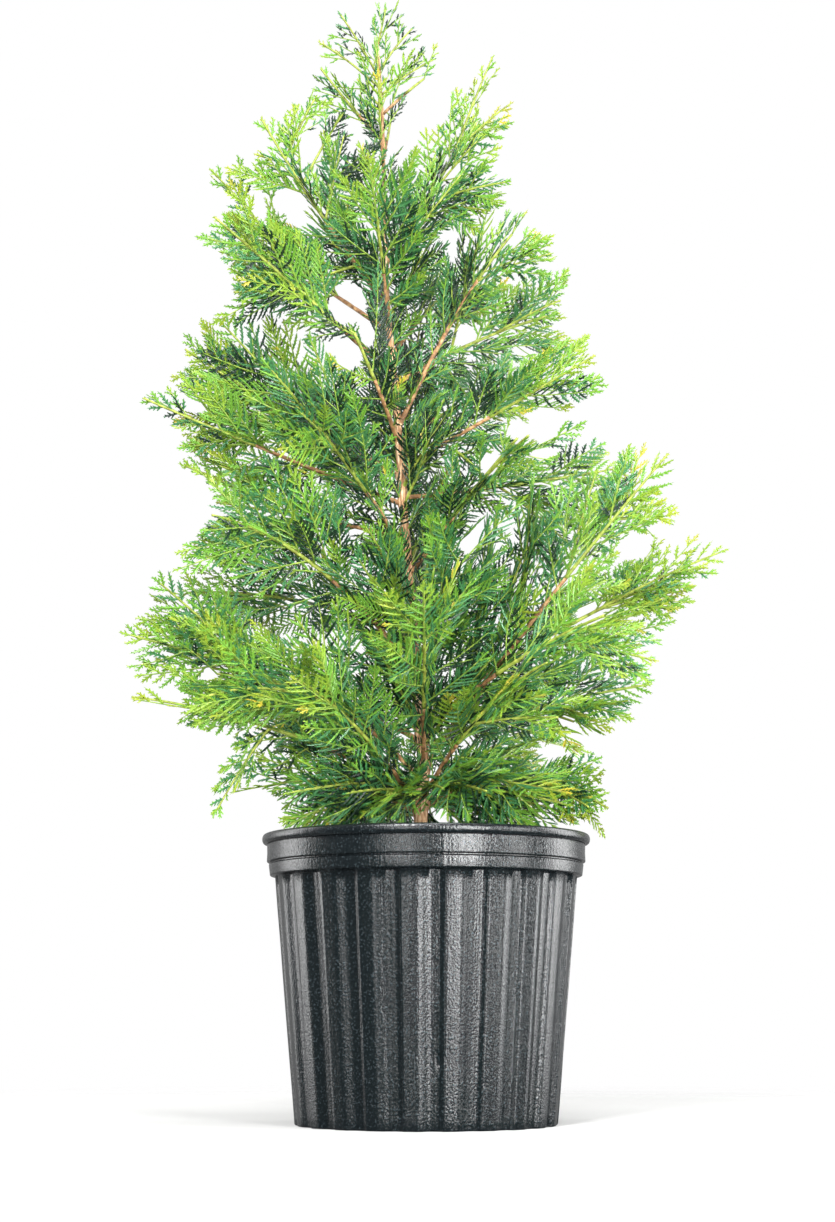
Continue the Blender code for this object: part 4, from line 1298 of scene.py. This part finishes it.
def sidePlaces(shoots, spacing, first, last, rng):
    # where side shoots leave their parents: parent, share of its length, and side
    first = np.broadcast_to(first, shoots["length"].shape)
    room = (last - first) * shoots["length"]
    counts = np.maximum(room / spacing, 0).astype(int)
    which = np.repeat(np.arange(len(counts)), counts)
    order = np.arange(len(which)) - np.repeat(np.cumsum(counts) - counts, counts)
    step = (spacing / shoots["length"])[which]
    share = first[which] + (order + 0.5 + rng.uniform(-0.18, 0.18, len(which))) * step
    return which, share, leftRight(order + which)


def sideShoots(shoots, which, share, side, lean, length, sweep, scatter, rng):
    # shoots that leave their parents in the plate, a little out of true
    heading = headingOn(shoots, which, share)
    normal = squareTo(shoots["normal"][which], heading)
    across = np.cross(normal, heading) * side[:, None]
    lean = lean[:, None]
    count = len(which)
    along = heading * np.cos(lean) + across * np.sin(lean) + normal * rng.normal(0, scatter, (count, 1))
    along = unit(along)
    tilt = across * rng.normal(0, 2.0 * scatter, (count, 1)) + heading * rng.normal(0, scatter, (count, 1))
    place = shoots["place"][which]
    return newShoots(pointOn(shoots, which, share), along, squareTo(normal + tilt, along), length,
                     heading * sweep - along * sweep * np.cos(lean), heading, place, place)


def acrossPlate(heading, roll):
    # the way across a flat spray that is rolled from the level about its stem
    flat = np.cross(heading, [0, 0, 1])
    size = np.linalg.norm(flat, axis=-1, keepdims=True)
    flat = np.where(size < 0.1, [1.0, 0, 0], flat / np.maximum(size, 1e-9))
    upright = np.cross(heading, flat)
    roll = roll[..., None]
    return flat * np.cos(roll) + upright * np.sin(roll)


def frondsAlong(limb, t, side, roll, length, lean, droop, rng):
    # fronds that leave a limb at those shares of it
    count = len(t)
    heading = limb.heading(t)
    across = acrossPlate(heading, roll)
    along = unit(heading * np.cos(lean)[:, None] + across * (side * np.sin(lean))[:, None])
    sweep = spray["forwardSweep"] * rng.uniform(0.4, 1.4, (count, 1))
    sag = spray["droop"] * rng.uniform(-1.0, 2.0, (count, 1)) + droop
    bend = heading * sweep - along * sweep * np.cos(lean)[:, None] + np.array([0, 0, -1.0]) * sag
    facing = np.where(rng.random((count, 1)) < 0.5, 1, -1)
    normal = unit(np.cross(heading, across)) * facing
    return newShoots(limb.at(t), along, normal, length, bend, heading, t, t)


def frondsOf(limb):
    # the fronds on one limb: in its plate, across it, on its bare foot, and the end one
    rng = limb.rng
    first = limb.bare
    leafy = np.linalg.norm(limb.tip - limb.at(first))
    mainRoll = math.radians(limb.roll)
    parts = []
    for spacing, crossing in ((spray["plateSpacing"], False), (spray["crossSpacing"], True)):
        fewest, off = spray["fewestFronds"], spray["placeScatter"]
        count = max(int(max(int(leafy / spacing), fewest) * spray["frondShare"]), fewest)
        s = (np.arange(count) + 0.4 + rng.uniform(-off, off, count)) / count * spray["frondShare"]
        t = first + (1 - first) * s
        pointsFront = limb.heading(t)[:, 1] < spray["frontward"]
        scatter = np.radians(np.where(pointsFront, spray["frontRollScatter"], spray["rollScatter"]))
        roll = mainRoll + rng.uniform(-1, 1, count) * scatter
        if crossing:
            roll = roll + np.radians(rng.uniform(*spray["crossRoll"], count))
        lean = np.radians(rng.uniform(*spray["lean"], count))
        ahead = (1 - s) * leafy / np.cos(lean)
        fullest = np.minimum(limb.spread / np.sin(lean) * (1 - spray["taperToTip"] * s), ahead)
        length = fullest * rng.uniform(*spray["fullest"], count) * (spray["crossLength"] if crossing else 1)
        length = np.minimum(np.maximum(length, spray["shortest"]), ahead + spray["overshoot"])
        parts.append(frondsAlong(limb, t, leftRight(np.arange(count)), roll, length, lean, 0, rng))
    spacing = spray["innerSpacing"]
    count = int((first * limb.length - spray["innerFrom"]) / spacing)
    if count > 0:
        t = first - (np.arange(count) + rng.uniform(0.2, 0.8, count)) * spacing / limb.length
        roll = np.radians(rng.uniform(0, 180, count))
        lean = np.radians(rng.uniform(*spray["innerLean"], count))
        short, long = spray["innerLength"]
        length = (short + (long - short) * t / first) * rng.uniform(*spray["innerFullest"], count)
        parts.append(frondsAlong(limb, t, leftRight(np.arange(count)), roll, length, lean,
                                 spray["innerDroop"], rng))
    start = np.array([first + (1 - first) * spray["endShare"]])
    reach = limb.tip - limb.at(start)
    size = np.linalg.norm(reach, axis=-1)
    along = reach / size[:, None]
    across = acrossPlate(limb.heading(start), np.array([mainRoll]))
    parts.append(newShoots(limb.at(start), along, unit(np.cross(along, across)), size,
                           np.zeros((1, 3)), limb.heading(start), start, np.ones(1), 1.0))
    return joined(parts)


def frondsOnTrunk(rng):
    plan = trunkSprays
    count = int((plan["to"] - plan["from"]) / plan["spacing"])
    heights = plan["from"] + (np.arange(count) + rng.uniform(0, 1, count)) * plan["spacing"]
    off = plan["turnScatter"]
    turn = np.arange(count) * plan["turn"] + rng.uniform(-off, off, count)
    fromFront = (turn - 270 + 180) % 360 - 180
    pushed = 270 + np.sign(fromFront) * (plan["frontGap"] + plan["pushedBy"])
    turn = np.radians(np.where(np.abs(fromFront) < plan["frontGap"], pushed, turn))
    out = np.stack([np.cos(turn), np.sin(turn), 0 * turn], -1)
    rise = np.radians(rng.uniform(*plan["rise"], count))[:, None]
    along = out * np.cos(rise) + np.array([0, 0, 1.0]) * np.sin(rise)
    narrowing = np.interp(heights, crownReach[:, 0], crownReach[:, 1]) / crownReach[:, 1].max()
    length = rng.uniform(*plan["length"], count) * (0.45 + 0.55 * narrowing)
    across = acrossPlate(along, np.radians(rng.uniform(*plan["roll"], count)))
    return newShoots(np.array([trunkAt(h)[0] for h in heights]), along, unit(np.cross(along, across)),
                     length, np.array([0, 0, -plan["droop"]]) + 0 * along,
                     np.array([0, 0, 1.0]) + 0 * along, np.zeros(count), np.zeros(count))


def subFrondsOf(fronds, rng):
    # the larger fronds fork: smaller fronds in their plate
    which, share, way = sidePlaces(fronds, spray["subFrondSpacing"], *spray["subFrondRun"], rng)
    keep = fronds["length"][which] > spray["subFrondParent"]
    which, share, way = which[keep], share[keep], way[keep]
    length = fronds["length"][which] * spray["subFrondShare"] * (1 - spray["subFrondTaper"] * share)
    length = length * rng.uniform(0.8, 1.1, len(which))
    lean = np.radians(rng.uniform(*spray["subFrondLean"], len(which)))
    return sideShoots(fronds, which, share, way, lean, length, 0.16, 0.14, rng), which


def sidesOf(fronds, comb, rng):
    # side shoots on the fronds; comb is 1 where they are fine and close, and 0 where toothed
    every = np.arange(len(fronds["length"]))
    ones = np.ones(len(every))
    outer = rising(outwardness(pointOn(fronds, every, 0.6 * ones)), *twig["airyFrom"])
    openness = 1 + twig["airiness"] * outer + twig["youngOpen"] * youth(fronds["origin"])
    spacing = twig["featherSpacing"] * openness * (1 - comb) + twig["combSpacing"] * comb
    first = twig["from"] / fronds["length"].clip(20 * mm)
    which, share, way = sidePlaces(fronds, spacing, first, twig["to"], rng)
    full, foot = twig["fullestAt"], twig["atFoot"]
    shape = np.where(share < full, foot + share * (1 - foot) / full,
                     1 - (share - full) * twig["taper"] / (1 - full))
    longest = np.clip(fronds["length"] * twig["share"], *twig["longest"])
    longest = longest * np.where(fronds["isEnd"] > 0, spray["endSides"], 1)
    length = longest[which] * shape * rng.uniform(0.80, 1.12, len(which))
    length = np.maximum(length * (1 - twig["combShorter"] * comb[which]), twig["shortest"])
    foot, tip = np.radians(twig["lean"])
    lean = foot + (tip - foot) * share + rng.normal(0, 0.07, len(which)) - twig["combUpright"] * comb[which]
    shoots = sideShoots(fronds, which, share, way, lean, length, twig["sweep"], 0.10, rng)
    # the frond ends in a shoot of its own
    length = np.minimum(twig["endShare"] * fronds["length"], twig["endLongest"])
    length = length * rng.uniform(0.7, 1.2, len(every))
    end = sideShoots(fronds, every, 1 - 0.9 * length / fronds["length"], ones, 0 * ones, length,
                     0.0, 0.03, rng)
    for part, parent, place in ((shoots, which, share), (end, every, ones)):
        part["comb"] = comb[parent] * (place < twig["combTo"])
        part["parent"] = parent
        part["share"] = place
    return joined([shoots, end])


def axisPoints(shoots, rows, wide):
    # flat ridged axes in the outline of overlapping scales: rings, open below, and a tip
    count, rings = len(shoots["length"]), len(rows)
    s = np.array(rows)[None, :, None]
    centre = shoots["origin"][:, None] + shoots["length"][:, None, None] * (
        s * shoots["along"][:, None] + s ** 2 * shoots["bend"][:, None])
    across = np.cross(shoots["normal"], shoots["along"])[:, None]
    normal = shoots["normal"][:, None]
    slim = np.clip(shoots["length"] / twig["axisFullFrom"], 0.8, 1.0) * (1 - 0.15 * shoots["comb"])
    size = slim[:, None, None] * np.array(wide)[None, :, None]
    half, rise = twig["axisWidth"] / 2 * size, twig["axisThick"] / 2 * size
    ring = [centre + across * half - normal * rise, centre + normal * rise,
            centre - across * half - normal * rise]
    points = np.stack(ring, 2).reshape(count, 3 * rings, 3)
    tip = shoots["origin"] + shoots["length"][:, None] * (shoots["along"] + shoots["bend"])
    pairs = ((0, 1), (1, 2))
    quads = [(r + a, r + b, r + 3 + b, r + 3 + a) for r in range(0, 3 * rings - 3, 3) for a, b in pairs]
    corners = [(3 * rings - 3 + a, 3 * rings - 3 + b, 3 * rings) for a, b in pairs]
    return np.concatenate([points, tip[:, None]], 1), [np.array(quads), np.array(corners)]


def toothPoints(shoots, rng):
    # teeth along each side shoot: short and pointed inside the crown, blunt and longer outside
    outer = rising(outwardness(shoots["origin"]), *tooth["outer"]) * (1 - shoots["comb"])
    grown = 1 + tooth["young"] * youth(shoots["origin"])
    spacing, longest = [(near + (far - near) * outer) * grown
                        for near, far in (tooth["spacing"], tooth["longest"])]
    which, share, way = sidePlaces(shoots, spacing, *tooth["run"], rng)
    heading = headingOn(shoots, which, share)
    across = np.cross(shoots["normal"][which], heading) * way[:, None]
    forward = (across * shoots["parentHeading"][which]).sum(-1) > 0
    shape = np.minimum(0.6 + 1.6 * share, 1) * np.clip(1.25 - share, 0, 1)
    length = np.minimum(tooth["share"] * shoots["length"][which], longest[which])
    length = length * shape * np.where(forward, 1, tooth["rear"])
    length = (length + tooth["shortest"] * 0.5) * rng.uniform(0.82, 1.14, len(which))
    length = np.maximum(length, tooth["shortest"])
    lean = np.radians(tooth["lean"] + rng.normal(0, 4, len(which)))
    teeth = sideShoots(shoots, which, share, way, lean, length, 0.0, 0.11, rng)
    start, along = teeth["origin"], teeth["along"]
    slim = np.clip(length / tooth["fullFrom"], 0.75, 1.08)
    half = np.cross(teeth["normal"], along) * (tooth["width"] / 2 * slim)[:, None]
    end = start + along * length[:, None]
    blunt = [start - half, start + half,
             end + tooth["tip"] * half - 0.12 * along * length[:, None], end - tooth["tip"] * half]
    foot = tooth["pointedFoot"] * half
    pointed = [start - foot, start + foot, end]
    return np.stack(blunt, 1), np.stack(pointed, 1), outer[which] > tooth["bluntFrom"], which, share


def youth(points):
    # 0 in the body of the shrub and 1 in its young crown
    return rising(points[:, 2], *twig["youngFrom"])


def outwardness(points):
    # 0 at the trunk and 1 at the crown's surface
    line = np.array([np.interp(points[:, 2], trunkLine[:, 0], trunkLine[:, k]) for k in (1, 2)]).T
    away = np.linalg.norm(points[:, :2] - line, axis=-1)
    return away / np.interp(points[:, 2], crownReach[:, 0], crownReach[:, 1])


def ageWithShadeOf(shoots, tone, rng):
    # by how far out a shoot is on the plant, which also paints shade on the inner crown, and on its frond,
    # and by the frond's own tone
    out = np.clip(outwardness(shoots["origin"]), 0, 1.0)
    # painted shade: the further in towards the trunk, the darker the tint, besides the older foliage there
    ageWithShade = ageAndShadeWeights["outward"] * out ** ageAndShadeWeights["power"] + shoots["share"] ** 2
    ageWithShade = ageWithShade + ageAndShadeWeights["young"] * youth(shoots["origin"])
    return ageWithShade + tone[shoots["parent"]] + rng.normal(0, ageAndShadeWeights["shootScatter"], len(out))


def deal(heaps, tint, node, points, patterns):
    # like bits of foliage, shared out to the heaps of their tints
    for number, name in enumerate(tintNames):
        chosen = points[tint == number]
        if not len(chosen):
            continue
        heap, nodes = heaps[name][-1]
        start = (np.arange(len(chosen)) * chosen.shape[1])[:, None, None]
        heap.add(chosen, [(block[None] + start).reshape(-1, block.shape[1]) for block in patterns])
        nodes.add(node)


def tintOf(ageWithShade, golden):
    return np.where(golden, tintNames.index("golden"), np.clip(np.round(ageWithShade), 0, youngest)).astype(int)


def addStems(stems, fronds, furthest):
    # a stem in each frond, as far as its side shoots go
    thick, thin = spray["stemRadius"]
    least = spray["stemThinnest"]
    for k, length in enumerate(fronds["length"]):
        if furthest[k] < spray["barest"]:
            continue
        rows = max(int(furthest[k] * length / spray["stemRings"]), 3)
        share = np.linspace(0, min(furthest[k], 0.92), rows)
        which = np.full(rows, k)
        scale = least + (1 - least) * min(length / spray["stemFullFrom"], 1)
        radii = np.repeat(((thick + (thin - thick) * share) * scale)[:, None], 4, 1)
        addTube(stems, pointOn(fronds, which, share), headingOn(fronds, which, share),
                fronds["normal"][which], radii)


def dressFronds(fronds, heaps, stems, node, rng):
    # side shoots and teeth for the fronds of one mass, into the heaps of their tints; gives the
    # share of the limb that they reach
    for name in tintNames:
        if heaps[name][-1][0].triangles > spray["pieceTriangles"]:
            heaps[name].append((Heap(), set()))
    fronds = trimmed(fronds, spray["cuts"], spray["stub"], limbShape["grace"])
    if not len(fronds["length"]):
        return 0.0
    small, parent = subFrondsOf(fronds, rng)
    tone = rng.normal(0, ageAndShadeWeights["frondScatter"], len(fronds["length"]))
    tone = np.concatenate([tone, tone[parent] + rng.normal(0, ageAndShadeWeights["forkScatter"], len(parent))])
    fronds = joined([fronds, small])
    # deep in the old crown most fronds are combs
    middle = pointOn(fronds, np.arange(len(tone)), np.full(len(tone), 0.4))
    combChance = np.clip(1.25 - 1.7 * outwardness(middle), 0, 0.85) * (1 - 0.8 * youth(middle))
    comb = (rng.random(len(tone)) < combChance).astype(float)
    shoots = trimmed(sidesOf(fronds, comb, rng), twig["cuts"], twig["stub"], 2 * limbShape["grace"])
    # tints by age, with painted shade inside the crown
    ageWithShade = ageWithShadeOf(shoots, tone, rng)
    golden = (tone[shoots["parent"]] > ageAndShadeWeights["goldenTone"]) & (shoots["share"] > ageAndShadeWeights["goldenFrom"])
    golden = golden & (rng.random(len(ageWithShade)) < ageAndShadeWeights["goldenChance"])
    tint = tintOf(ageWithShade, golden)
    long = shoots["length"] > twig["long"]
    for chosen, rows, wide in ((long, (0, 0.35, 0.76), (0.9, 1.0, 0.95)), (~long, (0, 0.6), (0.9, 1.0))):
        deal(heaps, tint[chosen], node, *axisPoints(pick(shoots, chosen), rows, wide))
    blunt, pointed, outer, which, share = toothPoints(shoots, rng)
    tint = tintOf(ageWithShade[which] + ageAndShadeWeights["toothTip"] * share ** 2 + ageAndShadeWeights["tooth"], golden[which])
    deal(heaps, tint[outer], node, blunt[outer], [np.array([(0, 1, 2, 3)])])
    deal(heaps, tint[~outer], node, pointed[~outer], [np.array([(0, 1, 2)])])
    furthest = np.zeros(len(fronds["length"]))
    np.maximum.at(furthest, shoots["parent"], shoots["share"])
    addStems(stems, fronds, furthest)
    return max(fronds["placeEnd"] * (furthest > spray["barest"]))


def makeSprays(limbs, branchlets):
    stems = Heap()
    heaps = {name: [(Heap(), set())] for name in tintNames}
    leafy = {}
    for limb in limbs + branchlets:
        leafy[limb.name] = dressFronds(frondsOf(limb), heaps, stems, limb.node + "_sprays", limb.rng)
    rng = np.random.default_rng(trunkSprays["seed"])
    dressFronds(frondsOnTrunk(rng), heaps, stems, "leader_sprays", rng)
    shoot = youngBark("green_shoot_bark", [(0.3, "#56752a"), (0.5, "#6f8d35"), (0.7, "#92a048")])
    makePiece("frond_stems", stems.points, stems.faces, shoot,
              [limb.name + "_sprays" for limb in limbs])
    total = stems.triangles
    print("frond stems:", total, "triangles")
    for name, parts in heaps.items():
        leaf = scaleLeaf(name, tints[name])
        for number, (heap, nodes) in enumerate(parts, 1):
            if heap.faces:
                makePiece(f"sprays_{name}_{number}", heap.points, heap.faces, leaf,
                          sorted(nodes))
                total += heap.triangles
                print(f"sprays_{name}_{number}:", heap.triangles, "triangles")
    print("sprays and their stems:", total, "triangles")
    return leafy


leafy = makeSprays(limbs, branchlets)
makeBoughs(limbs, branchlets, leafy)
